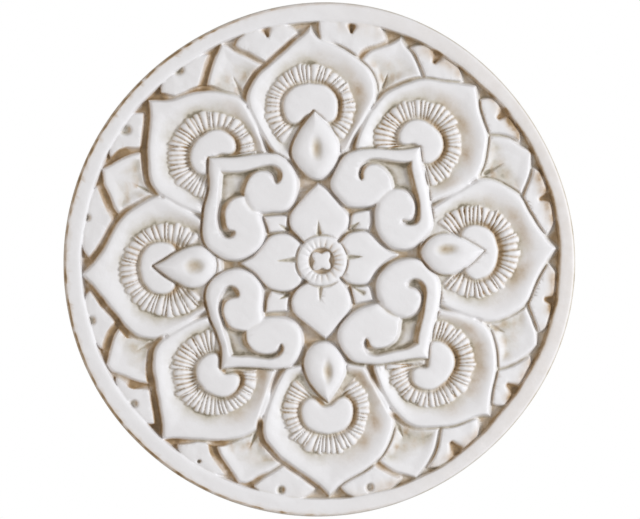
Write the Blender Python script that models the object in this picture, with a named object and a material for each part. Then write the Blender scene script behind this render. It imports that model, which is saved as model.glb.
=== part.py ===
"""A round wall plaque, cast in one piece, with a carved mandala of petals, scrolls and flutes.

The plaque is drawn lying flat with its face up, in X and Y, and is stood up at the end. Its back
then lies in the plane Y = 0 against the wall, its face looks to -Y and the top of the design
points to +Z. The origin is the middle of the back.

The carving is drawn in units of its own, about a millimetre each, around the middle of the
mandala, with each motif pointing up +Y before it is turned to its place. The unit is such that the
longest petal ends at the rim.
"""

import math

import bmesh
import bpy
from mathutils import Matrix, Vector

# The disc
PLAQUE_DIAMETER = 0.300
SLAB_THICKNESS = 0.0110
RIM_WIDTH = 0.0099
RIM_RISE = 0.0070
RIM_ROUNDING = 0.0014
TIP_CLEARANCE = 0.0006
BACK_CHAMFER = 0.0020
DISC_SIDES = 64

# Heights of the carving above its ground
PETAL_CREST = 0.0070
PETAL_DISH = 0.0028
FLUTE_OUTER_RISE = 0.0062
FLUTE_INNER_RISE = 0.0046
FLUTE_DEPTH = 0.0011
BUTTON_RISE = 0.0062
SCROLL_RISE = 0.0085
POCKET_FLOOR = 0.0020
TEARDROP_RISE = 0.0100
DIMPLE_DEPTH = 0.0025
HEART_RISE = 0.0070
LEAF_RISE = 0.0050
CUP_RISE = 0.0046
CUP_DEPTH = 0.0020
RIM_HEART_RISE = 0.0060
ROSETTE_RISE = 0.0085
ROSETTE_PIT = 0.0048
STAR_RISE = 0.0068
INCISION_DEPTH = 0.0022

# Edges of the carving: the slope of each wall and the rounding of its lip
WALL_SLOPE = 0.0005
LIP = 0.0010
FLUTES_IN_A_RING = 20
FLUTES_IN_THE_ROSETTE = 16

# The hanging recess in the back
RECESS_WIDTH = 0.026
RECESS_HEIGHT = 0.014
RECESS_DEPTH = 0.0080
RECESS_ROOF_CATCH = 0.0030
RECESS_BELOW_TOP_EDGE = 0.052

# The drawing. Directions are in degrees from +X, and the other numbers in drawn units.
# Direction and tip of each large petal, and how wide it opens to its left and right in degrees
LARGE_PETALS = ((0.5, 138.2, 24.7, 23.5), (45.6, 138.0, 22.7, 20.4), (89.5, 137.2, 23.2, 21.2),
                (134.3, 138.6, 21.0, 21.6), (180.3, 139.4, 23.2, 25.0), (224.6, 139.0, 22.7, 21.1),
                (269.6, 138.4, 23.7, 22.3), (315.5, 136.2, 21.5, 22.2))
# Direction and tip of each small petal
SMALL_PETALS = ((25.3, 138.8), (68.5, 138.0), (112.5, 139.4), (156.0, 139.2), (202.5, 139.2),
                (247.0, 138.0), (291.5, 138.0), (336.5, 136.4))
FIELD = PLAQUE_DIAMETER / 2 - RIM_WIDTH
UNIT = (FIELD - TIP_CLEARANCE) / max(tip for _, tip, *_ in LARGE_PETALS + SMALL_PETALS)
MANDALA_OFFSET = Vector((1.4, -0.85))
OUTLINE_WAVES = ((2, -0.30, 0.73), (3, -0.15, -0.52), (4, 0.36, -0.36), (5, 0.23, -0.05))
ROOT_DEPTH = SLAB_THICKNESS * 0.35
TOP_OF_CUTS = max(TEARDROP_RISE, ROSETTE_RISE, SCROLL_RISE, PETAL_CREST) * 1.6

# Each motif's own hand-cut size
PETAL_FLUTE_REACH = (116.5, 115.0, 116.0, 114.5, 117.0, 116.0, 113.5, 114.0)
PETAL_BUTTON_REACH = (103.5, 103.0, 104.5, 102.0, 105.5, 101.5, 101.0, 101.5)
# Direction, tip distance, half-width on the left and on the right looking outward
HEARTS = ((2.0, 44.5, 16.8, 15.2), (90.5, 46.0, 17.5, 17.0),
          (178.8, 47.0, 16.6, 17.3), (270.5, 45.0, 16.4, 18.4))
TEARDROPS = ((1.3, 57.5, 95.0, 12.0, 12.5), (90.0, 47.5, 88.0, 15.0, 13.8),
             (178.8, 61.0, 97.0, 13.0, 11.5), (270.3, 46.0, 81.5, 11.5, 13.0))
# Direction, tip distance, stretch of the left and right lobe, stretch of the two hooks
SCROLLS = ((46.0, 89.0, 0.97, 1.05, 0.85, 1.07), (135.0, 90.0, 1.12, 0.92, 1.08, 1.00),
           (225.0, 86.5, 0.88, 1.15, 0.85, 1.13), (315.0, 85.5, 1.13, 0.94, 1.13, 0.85))

WHITE_CERAMIC = (0.76, 0.75, 0.74, 1.0)


def clear_scene():
    for thing in list(bpy.data.objects):
        bpy.data.objects.remove(thing, do_unlink=True)


def new_collection(name):
    collection = bpy.data.collections.new(name)
    bpy.context.scene.collection.children.link(collection)
    return collection


def ceramic():
    material = bpy.data.materials.new("white_ceramic")
    material.use_nodes = True
    shader = material.node_tree.nodes["Principled BSDF"]
    shader.inputs["Base Color"].default_value = WHITE_CERAMIC
    shader.inputs["Roughness"].default_value = 0.62
    shader.inputs["Metallic"].default_value = 0.0
    return material


# Outlines in drawn units


def smooth_run(points, step):
    """Evenly spaced points on a smooth curve through the given ones, without the last."""
    ends = [points[0] * 2 - points[1]] + points + [points[-1] * 2 - points[-2]]
    fine = []
    for before, start, stop, after in zip(ends, ends[1:], ends[2:], ends[3:]):
        for part in range(8):
            t = part / 8
            fine.append(0.5 * (2 * start + (stop - before) * t
                               + (2 * before - 5 * start + 4 * stop - after) * t * t
                               + (3 * start - before - 3 * stop + after) * t ** 3))
    fine.append(points[-1])
    lengths = [0.0]
    for a, b in zip(fine, fine[1:]):
        lengths.append(lengths[-1] + (b - a).length)
    pieces = max(1, round(lengths[-1] / step))
    result = []
    place = 0
    for piece in range(pieces):
        target = lengths[-1] * piece / pieces
        while lengths[place + 1] < target:
            place += 1
        share = (target - lengths[place]) / (lengths[place + 1] - lengths[place])
        result.append(fine[place].lerp(fine[place + 1], share))
    return result


def outline(runs, step):
    """A closed outline from smooth runs that meet at corners."""
    points = []
    for run in runs:
        points.extend(smooth_run([Vector(point) for point in run], step))
    return points


def symmetric(runs, step):
    """A closed outline, counter-clockwise, from the runs on its right, given tip first."""
    left = [[(-x, y) for x, y in run] for run in runs]
    right = [list(reversed(run)) for run in reversed(runs)]
    return outline(left + right, step)


def inset(points, distance):
    """The outline moved inward by a small distance; a negative one moves it outward."""
    result = []
    for index, point in enumerate(points):
        before = points[index - 1]
        after = points[(index + 1) % len(points)]
        along_in = (point - before).normalized()
        along_out = (after - point).normalized()
        normal_in = Vector((-along_in.y, along_in.x))
        normal_out = Vector((-along_out.y, along_out.x))
        middle = (normal_in + normal_out).normalized()
        reach = max(0.55, middle.dot(normal_in))
        result.append(point + middle * (distance / reach))
    return result


def drawn_toward(points, centre, distances, least=1.0):
    """The outline pulled toward a centre, by a distance for each point."""
    result = []
    for point, distance in zip(points, distances):
        arm = point - centre
        result.append(centre + arm * (max(least, arm.length - distance) / arm.length))
    return result


def circle(radius, sides, centre=Vector((0.0, 0.0))):
    """A round outline, counter-clockwise."""
    steps = (math.tau * side / sides for side in range(sides))
    return [centre + Vector((math.cos(a), math.sin(a))) * radius for a in steps]


def turned(points, direction):
    """Points drawn up +Y, turned to point in a direction in degrees."""
    turn = Matrix.Rotation(math.radians(direction - 90), 2)
    return [turn @ point for point in points]


def widened(points, left, right):
    """The half to the left of the axis and the half to the right, each with its own stretch."""
    return [Vector((p.x * (left if p.x < 0 else right), p.y)) for p in points]


def placed(point):
    """A drawn point in metres from the disc's middle, eased so that the border fits the rim."""
    share = min(1.0, point.length * UNIT / FIELD) ** 4
    return (point + MANDALA_OFFSET * (1 - share)) * UNIT


# Solids


def operand(name, shape, collection):
    """The finished solid as an object for the Booleans, its twisted quads split in two."""
    quads = [face for face in shape.faces if len(face.verts) == 4]
    bmesh.ops.triangulate(shape, faces=quads)
    mesh = bpy.data.meshes.new(name)
    shape.to_mesh(mesh)
    shape.free()
    solid = bpy.data.objects.new(name, mesh)
    collection.objects.link(solid)
    solid.hide_render = True
    solid.display_type = 'WIRE'
    return solid


def lofted(name, levels, collection):
    """A closed solid through outlines of equal count, from the lowest level to the highest.

    Each level is its points in metres and either one height or a height for each point.
    """
    shape = bmesh.new()
    rings = []
    for points, heights in levels:
        if not isinstance(heights, list):
            heights = [heights] * len(points)
        ring = []
        for point, height in zip(points, heights):
            ring.append(shape.verts.new((point.x, point.y, SLAB_THICKNESS + height)))
        rings.append(ring)
    for lower, upper in zip(rings, rings[1:]):
        count = len(lower)
        for index in range(count):
            after = (index + 1) % count
            shape.faces.new((lower[index], lower[after], upper[after], upper[index]))
    shape.faces.new(list(reversed(rings[0])))
    shape.faces.new(rings[-1])
    return operand(name, shape, collection)


def raised(name, points, direction, rise, collection, inner_levels=(), lip=LIP):
    """A motif that stands on the ground with a sloped wall and, unless lip is 0, a soft edge."""
    levels = [(inset(points, -WALL_SLOPE / UNIT), -ROOT_DEPTH), (points, rise - lip)]
    if lip:
        levels.append((inset(points, lip / UNIT), rise))
    levels.extend(inner_levels)
    real = [([placed(p) for p in turned(ring, direction)], height) for ring, height in levels]
    return lofted(name, real, collection)


def disc():
    """The slab with its rim, and the wavy outline of something shaped by hand."""
    angles = [math.tau * side / DISC_SIDES for side in range(DISC_SIDES)]

    def ring(radius, waviness):
        points = []
        for angle in angles:
            wave = sum(c * math.cos(k * angle) + s * math.sin(k * angle)
                       for k, c, s in OUTLINE_WAVES)
            reach = radius + wave * waviness * UNIT
            points.append(Vector((math.cos(angle), math.sin(angle))) * reach)
        return points

    outer = PLAQUE_DIAMETER / 2
    inner = outer - RIM_WIDTH
    levels = [(ring(outer - BACK_CHAMFER, 1), -SLAB_THICKNESS),
              (ring(outer, 1), BACK_CHAMFER - SLAB_THICKNESS),
              (ring(outer, 1), RIM_RISE - RIM_ROUNDING),
              (ring(outer - RIM_ROUNDING, 1), RIM_RISE),
              (ring(inner + LIP, 0.2), RIM_RISE),
              (ring(inner, 0.2), RIM_RISE - LIP),
              (ring(inner - WALL_SLOPE, 0.2), 0.0)]
    plaque = lofted("plaque", levels, bpy.context.scene.collection)
    plaque.hide_render = False
    plaque.display_type = 'TEXTURED'
    return plaque


def large_petal(index, reliefs):
    """A petal with a raised border, a dish, a ring of flutes and a kidney-shaped button."""
    direction, tip, left, right = LARGE_PETALS[index]
    tip_side = [(0, 139.5), (4.7, 134.9), (11.3, 129.5), (18.6, 124.6), (25.6, 120.3),
                (30.0, 116.2), (34.6, 109.7), (38.2, 103.0), (39.3, 96.5)]
    lower_side = [(39.3, 96.5), (33.4, 82.6), (26.8, 66.6), (19.0, 60.0), (0, 58.0)]
    drawn_half = math.degrees(math.atan2(39.3, 96.5))
    points = widened(symmetric([tip_side, lower_side], 9.4), left / drawn_half, right / drawn_half)
    points = [Vector((p.x, p.y if p.y < 110 else 110 + (p.y - 110) * (tip - 110) / 29.5))
              for p in points]
    middle = Vector((0.0, 91.0))
    border = []
    crest = []
    for point in points:
        share = min(1.0, max(0.0, (point.y - 62.0) / 12.0))
        reach = (point - middle).length
        border.append(max(1.2 + 6.3 * share, reach - 35.0))
        crest.append(PETAL_DISH + (PETAL_CREST - PETAL_DISH) * share)
    dish = drawn_toward(points, middle, border)
    shoulder = drawn_toward(points, middle, [depth * 0.55 for depth in border])
    levels = [(inset(points, -WALL_SLOPE / UNIT), -ROOT_DEPTH), (points, crest),
              (shoulder, crest), (dish, PETAL_DISH)]
    real = [([placed(p) for p in turned(ring, direction)], height) for ring, height in levels]
    lofted("petal_%d" % index, real, reliefs)

    button_reach = PETAL_BUTTON_REACH[index]
    button_top = [(0, 104.5), (8.0, 102.6), (13.6, 97.6), (15.6, 91.0), (14.6, 85.0),
                  (11.0, 81.0), (7.0, 80.6), (3.5, 83.0), (0, 86.5)]
    button = [point + Vector((0.0, button_reach - 104.5)) for point in symmetric([button_top], 7.4)]
    raised("button_%d" % index, button, direction, BUTTON_RISE, reliefs)

    fluted_ring(index, direction, reliefs)


def fluted_ring(index, direction, reliefs):
    """A ring of flutes, open at its foot, that run inward and down, as one closed solid."""
    outer = 26.5
    inner = 12.5
    middle = Vector((0.0, PETAL_FLUTE_REACH[index] - outer))
    open_half = math.radians(33)
    start = -math.pi / 2 + open_half
    sweep = math.tau - 2 * open_half
    steps = 2 * round(FLUTES_IN_A_RING)
    stations = []
    slope = WALL_SLOPE / UNIT
    for step in range(steps + 1):
        angle = start + sweep * step / steps
        ray = Vector((math.cos(angle), math.sin(angle)))
        cut = FLUTE_DEPTH * (1 if step % 2 == 0 else 0)
        section = ((outer + slope, -ROOT_DEPTH), (outer, FLUTE_OUTER_RISE - cut),
                   (inner, FLUTE_INNER_RISE - cut), (inner, -ROOT_DEPTH))
        stations.append([(middle + ray * radius, height) for radius, height in section])
    shape = bmesh.new()
    loops = []
    for station in stations:
        loop = []
        for point, height in station:
            real = placed(turned([point], direction)[0])
            loop.append(shape.verts.new((real.x, real.y, SLAB_THICKNESS + height)))
        loops.append(loop)
    for first, second in zip(loops, loops[1:]):
        for corner in range(4):
            after = (corner + 1) % 4
            shape.faces.new((first[corner], second[corner], second[after], first[after]))
    shape.faces.new(loops[0])
    shape.faces.new(list(reversed(loops[-1])))
    return operand("flutes_%d" % index, shape, reliefs)


def small_petal(index, reliefs, cuts):
    """A cupped petal between two large ones, and the two flat hearts beside its tip."""
    direction, tip = SMALL_PETALS[index]
    tip_side = [(0, 138.8), (8.0, 134.4), (13.4, 129.2), (17.4, 123.2), (18.6, 120.6)]
    lower_side = [(18.6, 120.6), (14.8, 118.6), (8.4, 114.6), (3.0, 110.2), (0, 107.2)]
    points = [Vector((p.x, p.y if p.y < 120 else 120 + (p.y - 120) * (tip - 120) / 18.8))
              for p in symmetric([tip_side, lower_side], 8.5)]
    cup = drawn_toward(points, Vector((0.0, 122.5)), [6.0] * len(points), 3.0)
    raised("cup_%d" % index, points, direction, CUP_RISE, reliefs,
           [(cup, CUP_RISE - CUP_DEPTH)], lip=0)
    incision("cup_line_%d" % index, (0, 111.5), (0, 122.0), 1.6, direction,
             CUP_RISE - CUP_DEPTH, cuts)
    polar_heart = [((9.6, 123.6), (13.2, 126.6), (16.7, 130.6), (18.7, 134.2), (17.6, 137.4),
                    (14.2, 137.7), (11.0, 135.4)),
                   ((11.0, 135.4), (8.0, 137.7), (4.4, 137.0), (4.9, 134.6), (6.9, 130.4),
                    (9.6, 123.6))]
    for side in (-1, 1):
        runs = []
        for run in polar_heart:
            arc = [Vector((math.sin(math.radians(a)) * r * side, math.cos(math.radians(a)) * r))
                   for a, r in run]
            runs.append(arc)
        heart = outline(runs, 8.6)
        if signed_area(heart) < 0:
            heart.reverse()
        raised("rim_heart_%d_%s" % (index, "left" if side < 0 else "right"), heart, direction,
               RIM_HEART_RISE, reliefs, lip=0)


def signed_area(points):
    pairs = zip(points, points[1:] + points[:1])
    return sum(a.x * b.y - b.x * a.y for a, b in pairs) / 2


def incision(name, start, end, width, direction, surface, cuts):
    """A short wedge-shaped cut, broad and deep at its start and running out at its end."""
    a = Vector(start)
    b = Vector(end)
    across = Vector((a.y - b.y, b.x - a.x)).normalized() * (width / 2)
    lower = [a - across * 0.3, b, a + across * 0.3]
    upper = [a - across, b, a + across]
    floor = surface - INCISION_DEPTH
    levels = [(lower, [floor, surface - INCISION_DEPTH * 0.3, floor]),
              ([point * 2 - other for point, other in zip(upper, lower)],
               [surface * 2 - floor, surface * 2 - floor + INCISION_DEPTH * 0.7,
                surface * 2 - floor])]
    real = [([placed(p) for p in turned(ring, direction)], height) for ring, height in levels]
    return lofted(name, real, cuts)


def heart(index, reliefs, cuts):
    """One of the four heart-shaped petals round the rosette."""
    direction, tip, left, right = HEARTS[index]
    side = [(0, 46.0), (4.0, 42.4), (8.4, 37.6), (12.6, 32.8), (15.8, 29.4), (17.4, 26.0),
            (17.4, 22.0), (16.0, 18.6), (13.4, 16.0), (10.5, 13.4), (6.0, 10.6), (0, 9.4)]
    points = symmetric([side], 6.6)
    shaped = [Vector((p.x, p.y if p.y < 25 else 25 + (p.y - 25) * (tip - 25) / 21.0))
              for p in widened(points, left / 17.5, right / 17.5)]
    raised("heart_%d" % index, shaped, direction, HEART_RISE, reliefs)
    incision("heart_line_%d" % index, (0, 14.5), (0, 24.0), 2.4, direction, HEART_RISE, cuts)


def leaf(index, reliefs, cuts):
    """A small lozenge between two heart petals and the notch of a scroll."""
    direction = 45.0 + 90.0 * index
    side = [(0, 42.6), (4.4, 38.2), (8.6, 33.2)]
    lower = [(8.6, 33.2), (6.4, 29.6), (3.6, 25.6), (0.0, 20.6)]
    raised("leaf_%d" % index, symmetric([side, lower], 4.5), direction, LEAF_RISE, reliefs)
    incision("leaf_line_%d" % index, (0, 25.0), (0.0, 32.0), 1.8, direction, LEAF_RISE, cuts)


def teardrop(index, reliefs, cuts):
    """A domed drop between two scrolls, with a dimple in its broad end."""
    direction, bottom, tip, left, right = TEARDROPS[index]
    length = tip - bottom
    profile = [(0.0, 1.0), (0.36, 0.85), (0.69, 0.71), (0.94, 0.56), (1.0, 0.43), (0.92, 0.30),
               (0.70, 0.19), (0.38, 0.07), (0.0, 0.0)]
    side = [(width * 10.0, bottom + share * length) for width, share in profile]
    points = widened(symmetric([side], 8.2), left / 10.0, right / 10.0)
    middle = Vector((0.0, bottom + length * 0.42))
    flank = drawn_toward(points, middle, [3.4] * len(points), 3.0)
    raised("teardrop_%d" % index, points, direction, TEARDROP_RISE * 0.8, reliefs,
           [(flank, TEARDROP_RISE)])
    rim = [middle + Vector((p.x, p.y * 1.8)) for p in circle(3.0, 10)]
    pit = [middle + Vector((p.x, p.y * 1.6)) for p in circle(1.1, 10)]
    floor = TEARDROP_RISE - DIMPLE_DEPTH
    levels = [(pit, floor), (rim, TEARDROP_RISE), (rim, TEARDROP_RISE + TOP_OF_CUTS)]
    real = [([placed(p) for p in turned(ring, direction)], height) for ring, height in levels]
    lofted("dimple_%d" % index, real, cuts)


def scroll(index, reliefs, cuts):
    """A large scrolled heart and the hooked pocket cut into it."""
    direction, tip, left, right, left_hook, right_hook = SCROLLS[index]

    def shaped(points, left_stretch, right_stretch):
        wide = widened(points, left_stretch, right_stretch)
        return [Vector((p.x, p.y if p.y < 60 else 60 + (p.y - 60) * (tip - 60) / 29.0))
                for p in wide]

    edge = [(0, 89.0), (9.3, 80.0), (21.5, 71.0), (30.3, 61.5), (34.2, 54.0), (33.6, 45.5),
            (29.6, 37.6), (23.6, 33.4), (16.0, 33.2), (8.6, 35.6), (4.2, 39.4), (0.0, 45.2)]
    body = shaped(symmetric([edge], 7.2), left, right)
    raised("scroll_%d" % index, body, direction, SCROLL_RISE, reliefs)
    outer_wall = [(0, 79.4), (4.4, 75.2), (11.0, 70.8), (18.6, 65.4), (23.2, 60.2), (25.2, 55.0),
                  (23.6, 50.8), (20.4, 48.8), (17.4, 50.2)]
    inner_wall = [(17.4, 50.2), (19.6, 52.0), (21.2, 55.2), (20.2, 59.0), (16.8, 62.2),
                  (11.6, 63.8), (6.2, 63.0), (0.0, 58.6)]
    pocket = shaped(symmetric([outer_wall, inner_wall], 7.0), left_hook, right_hook)
    slope = WALL_SLOPE / UNIT
    levels = [(inset(pocket, slope), POCKET_FLOOR), (inset(pocket, -slope * 0.4), SCROLL_RISE),
              (inset(pocket, -slope * 0.4), SCROLL_RISE + TOP_OF_CUTS)]
    real = [([placed(p) for p in turned(ring, direction)], height) for ring, height in levels]
    lofted("pocket_%d" % index, real, cuts)


def rosette(reliefs, cuts):
    """The button in the middle: a fluted ring round a pit that holds a small star."""
    middle = Vector((0.0, 0.8))
    sides = 2 * round(FLUTES_IN_THE_ROSETTE)
    outer = circle(15.6, sides, middle)
    shoulder = circle(14.2, sides, middle)
    inner = circle(9.2, sides, middle)
    ridges = [-FLUTE_DEPTH * (side % 2) for side in range(sides)]
    levels = [(circle(16.0, sides, middle), -ROOT_DEPTH),
              (outer, [ROSETTE_RISE - LIP * 1.8 + ridge * 0.6 for ridge in ridges]),
              (shoulder, [ROSETTE_RISE + ridge for ridge in ridges]),
              (inner, [ROSETTE_RISE + ridge for ridge in ridges])]
    real = [([placed(p) for p in ring], height) for ring, height in levels]
    lofted("rosette", real, reliefs)
    pit = [(circle(7.4, 16, middle), ROSETTE_PIT), (circle(8.6, 16, middle), ROSETTE_RISE),
           (circle(8.6, 16, middle), ROSETTE_RISE + TOP_OF_CUTS)]
    lofted("rosette_pit", [([placed(p) for p in ring], height) for ring, height in pit], cuts)


def star():
    """The four-lobed star, as levels for a loft in the rosette's pit."""
    points = []
    for step in range(16):
        angle = math.tau * step / 16 + math.radians(45)
        reach = (5.4, 3.6, 1.9, 3.6)[step % 4]
        points.append(Vector((0.0, 0.8)) + Vector((math.cos(angle), math.sin(angle))) * reach)
    levels = [(points, -ROOT_DEPTH), (points, STAR_RISE - LIP * 0.8),
              (inset(points, LIP / UNIT * 0.6), STAR_RISE)]
    return [([placed(p) for p in ring], height) for ring, height in levels]


def hanging_recess(cuts):
    """A blind slot in the back near the top, whose roof slants up so that a hook holds."""
    top = PLAQUE_DIAMETER / 2 - RECESS_BELOW_TOP_EDGE
    bottom = top - RECESS_HEIGHT
    half = RECESS_WIDTH / 2
    mouth = [Vector((-half, bottom)), Vector((half, bottom)), Vector((half, top)),
             Vector((-half, top))]
    back = [Vector((p.x, p.y + (RECESS_ROOF_CATCH if p.y > bottom else 0))) for p in mouth]
    slant = RECESS_ROOF_CATCH / RECESS_DEPTH
    outside = [Vector((p.x, p.y - (slant * RECESS_DEPTH if p.y > bottom else 0))) for p in mouth]
    levels = [(outside, -SLAB_THICKNESS - RECESS_DEPTH), (mouth, -SLAB_THICKNESS),
              (back, -SLAB_THICKNESS + RECESS_DEPTH)]
    lofted("hanging_recess", levels, cuts)


def join(target, operation, collection):
    """A live Boolean of a solid with all the solids in a collection."""
    modifier = target.modifiers.new(operation.title(), 'BOOLEAN')
    modifier.operation = operation
    modifier.operand_type = 'COLLECTION'
    modifier.collection = collection
    modifier.solver = 'EXACT'


def build_plaque():
    clear_scene()
    reliefs = new_collection("Reliefs")
    cuts = new_collection("Cuts")
    details = new_collection("Details")
    plaque = disc()
    for index in range(8):
        large_petal(index, reliefs)
        small_petal(index, reliefs, cuts)
    for index in range(4):
        heart(index, reliefs, cuts)
        leaf(index, reliefs, cuts)
        teardrop(index, reliefs, cuts)
        scroll(index, reliefs, cuts)
    rosette(reliefs, cuts)
    hanging_recess(cuts)
    lofted("star", star(), details)
    join(plaque, 'UNION', reliefs)
    join(plaque, 'DIFFERENCE', cuts)
    join(plaque, 'UNION', details)
    merge = plaque.modifiers.new("Merge level facets", 'DECIMATE')
    merge.decimate_type = 'DISSOLVE'
    merge.angle_limit = math.radians(2)
    plaque.data.shade_smooth()
    plaque.data.set_sharp_from_angle(angle=math.radians(35))
    plaque.data.materials.append(ceramic())
    stand_up = Matrix.Rotation(math.radians(90), 4, 'X')
    for thing in bpy.data.objects:
        thing.matrix_world = stand_up @ thing.matrix_world


build_plaque()
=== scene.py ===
"""The looks of a round cast wall plaque: its fine carving and its antiqued white finish.

The carved face is one height over the flat of the disc. It is laid out in drawn units, which
are millimetres on this plaque, around the middle of the mandala, and each motif is set over the
ones before it with its own groove, wall and rounded lip. The wash that was wiped off the high
parts and stayed in the low ones is worked out from the finished shape, and with it painted light
and shade: the slopes turned to the light on the right are left paler, and the sides turned away
from it, with the gaps beside them, are painted brown as their shade.
"""

import math

import bpy
import numpy as np
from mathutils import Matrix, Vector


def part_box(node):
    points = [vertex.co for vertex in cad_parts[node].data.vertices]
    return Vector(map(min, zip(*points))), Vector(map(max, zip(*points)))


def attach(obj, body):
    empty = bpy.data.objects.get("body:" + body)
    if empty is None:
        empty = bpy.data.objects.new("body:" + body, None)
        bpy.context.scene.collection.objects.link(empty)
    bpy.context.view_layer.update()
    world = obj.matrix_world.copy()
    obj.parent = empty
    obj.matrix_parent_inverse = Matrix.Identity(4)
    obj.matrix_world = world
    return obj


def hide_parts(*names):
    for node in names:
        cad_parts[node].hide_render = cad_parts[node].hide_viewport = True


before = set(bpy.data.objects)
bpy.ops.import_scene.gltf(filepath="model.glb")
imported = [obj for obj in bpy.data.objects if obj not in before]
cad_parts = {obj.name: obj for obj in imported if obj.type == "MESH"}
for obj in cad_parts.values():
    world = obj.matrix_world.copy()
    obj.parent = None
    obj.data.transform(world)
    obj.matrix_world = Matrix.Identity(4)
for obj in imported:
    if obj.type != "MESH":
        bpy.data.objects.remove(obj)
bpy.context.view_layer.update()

bl_info = {
    "name": "Mandala wall plaque",
    "version": (1, 0, 0),
    "blender": (4, 5, 0),
    "location": "View3D > Sidebar > Plaque",
    "description": "Builds the carved face and the antiqued finish of a round wall plaque",
    "category": "Add Mesh",
}

NODE = "plaque"
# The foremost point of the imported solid, toward the camera
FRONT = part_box(NODE)[0].y

# The disc's radius in metres, before the waves of its hand-shaped edge
DISC_RADIUS = 0.150
MILLIMETRE = 0.001
# What lies nearer to the wall than this share of the slab is the back, with this wash on it
BACK_SHARE = 0.78
BACK_WASH = {"hollow": 0.04, "brown_wash_and_shade": 0.0}

# The drawing: the radius inside the rim, the mandala's place on the disc, how far the edge stays
# inside the solid's, the tallest that the relief may stand, and the waves of the outline
DRAWN_FIELD = 140.0
MANDALA_OFFSET = (1.4, -0.85)
EDGE_INSET = 0.12
TALLEST = 9.9
OUTLINE_WAVES = ((2, -0.30, 0.73), (3, -0.15, -0.52), (4, 0.36, -0.36), (5, 0.23, -0.05))

# Large petals: the tip, then the two sides down to where each meets the next, as directions in
# degrees and distances
PETALS = (
    ((0.5, 139.2),
     ((-4.5, 130.9), (-8.2, 127.1), (-14.6, 123.3), (-16.9, 118.8), (-19.3, 113.6),
      (-21.4, 108.8)),
     ((3.3, 133.7), (5.3, 131.0), (8.1, 128.1), (11.1, 125.7), (15.6, 123.5), (18.5, 118.8),
      (21.4, 114.4), (24.0, 109.7))),
    ((45.5, 137.6),
     ((43.5, 133.9), (41.6, 129.8), (38.1, 125.6), (34.7, 123.6), (31.6, 117.8), (29.0, 113.0),
      (26.9, 108.1), (25.7, 103.1)),
     ((47.9, 134.4), (50.4, 130.8), (53.4, 127.1), (56.9, 124.2), (59.1, 121.6), (62.3, 114.7),
      (64.9, 109.2), (67.3, 103.8))),
    ((89.7, 137.2),
     ((88.3, 131.1), (84.2, 127.6), (80.2, 124.2), (77.2, 120.7), (73.5, 116.5), (71.3, 112.2),
      (69.8, 107.1), (68.9, 102.0)),
     ((91.2, 133.8), (93.7, 130.0), (97.2, 124.8), (101.7, 119.4), (105.6, 116.4), (107.7, 113.3),
      (110.6, 108.4))),
    ((134.3, 137.2),
     ((132.7, 133.6), (131.2, 129.6), (128.5, 126.3), (125.1, 123.7), (121.9, 120.8),
      (118.7, 115.9), (115.6, 110.9), (113.5, 106.6)),
     ((136.2, 132.6), (138.4, 128.4), (141.0, 125.2), (144.6, 121.0), (146.8, 117.6),
      (149.4, 114.5), (152.7, 109.9))),
    ((180.9, 139.7),
     ((178.4, 133.4), (175.9, 128.8), (171.8, 124.7), (167.8, 121.6), (164.8, 118.8),
      (161.5, 113.9), (159.3, 109.6)),
     ((182.5, 136.3), (185.1, 131.7), (188.6, 127.7), (193.0, 123.0), (196.6, 120.0),
      (199.2, 117.1), (201.6, 111.3))),
    ((226.2, 139.1),
     ((223.2, 132.4), (220.5, 128.2), (217.2, 124.2), (213.7, 120.2), (210.5, 117.4),
      (207.9, 114.1), (205.1, 110.2)),
     ((227.0, 137.1), (228.9, 133.2), (231.9, 128.6), (235.4, 124.4), (237.8, 121.3),
      (240.6, 117.5), (244.2, 111.4), (246.7, 105.2))),
    ((269.8, 137.9),
     ((268.1, 133.2), (265.3, 128.2), (261.8, 123.9), (257.7, 119.4), (255.0, 116.3),
      (251.3, 111.4), (248.8, 106.3)),
     ((271.2, 136.0), (272.4, 132.4), (274.8, 129.0), (279.2, 125.9), (283.7, 121.1),
      (286.3, 117.2), (288.8, 112.6), (291.2, 106.9))),
    ((315.2, 135.3),
     ((313.7, 131.0), (310.7, 127.4), (307.2, 124.7), (303.6, 120.2), (301.0, 116.6),
      (297.8, 113.4), (295.3, 107.8)),
     ((317.1, 131.0), (319.8, 127.1), (323.4, 123.6), (326.5, 120.9), (329.0, 117.4),
      (331.3, 114.1), (334.3, 109.1))),
)
# Where each large petal meets the next: direction, distance, direction at its foot
MEETINGS = ((25.2, 108.0, 24.8), (68.3, 102.0, 72.0), (112.7, 106.0, 113.0),
            (155.3, 106.0, 157.0), (203.5, 106.5, 201.8), (247.3, 102.5, 246.5),
            (293.3, 102.0, 292.0), (337.0, 105.0, 336.5))
# Fluted rings: direction and distance of the middle, outer radius, then for all of them the
# length of a flute and how far round from the top the ring goes, in degrees
RINGS = ((1.3, 89.6, 27.2), (48.0, 89.4, 25.8), (91.6, 90.0, 26.0), (133.4, 89.0, 25.6),
         (180.6, 89.8, 27.4), (223.9, 90.4, 25.2), (269.3, 87.6, 25.6), (314.7, 88.0, 25.7))
FLUTE_LENGTH = 11.4
RING_END = 139
# Buttons: direction of the middle, distance of the top, half-width, depth of the left and
# right lobe below the top
BUTTONS = ((1.0, 104.0, 16.2, 22.0, 20.5), (47.8, 103.2, 13.8, 20.6, 20.6),
           (91.4, 105.0, 16.0, 24.0, 24.0), (132.4, 101.8, 14.6, 20.0, 20.6),
           (179.9, 106.4, 15.4, 20.4, 21.6), (225.4, 101.6, 13.6, 20.0, 20.6),
           (269.8, 101.4, 15.4, 22.0, 21.6), (314.1, 101.4, 14.9, 22.0, 19.0))
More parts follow.
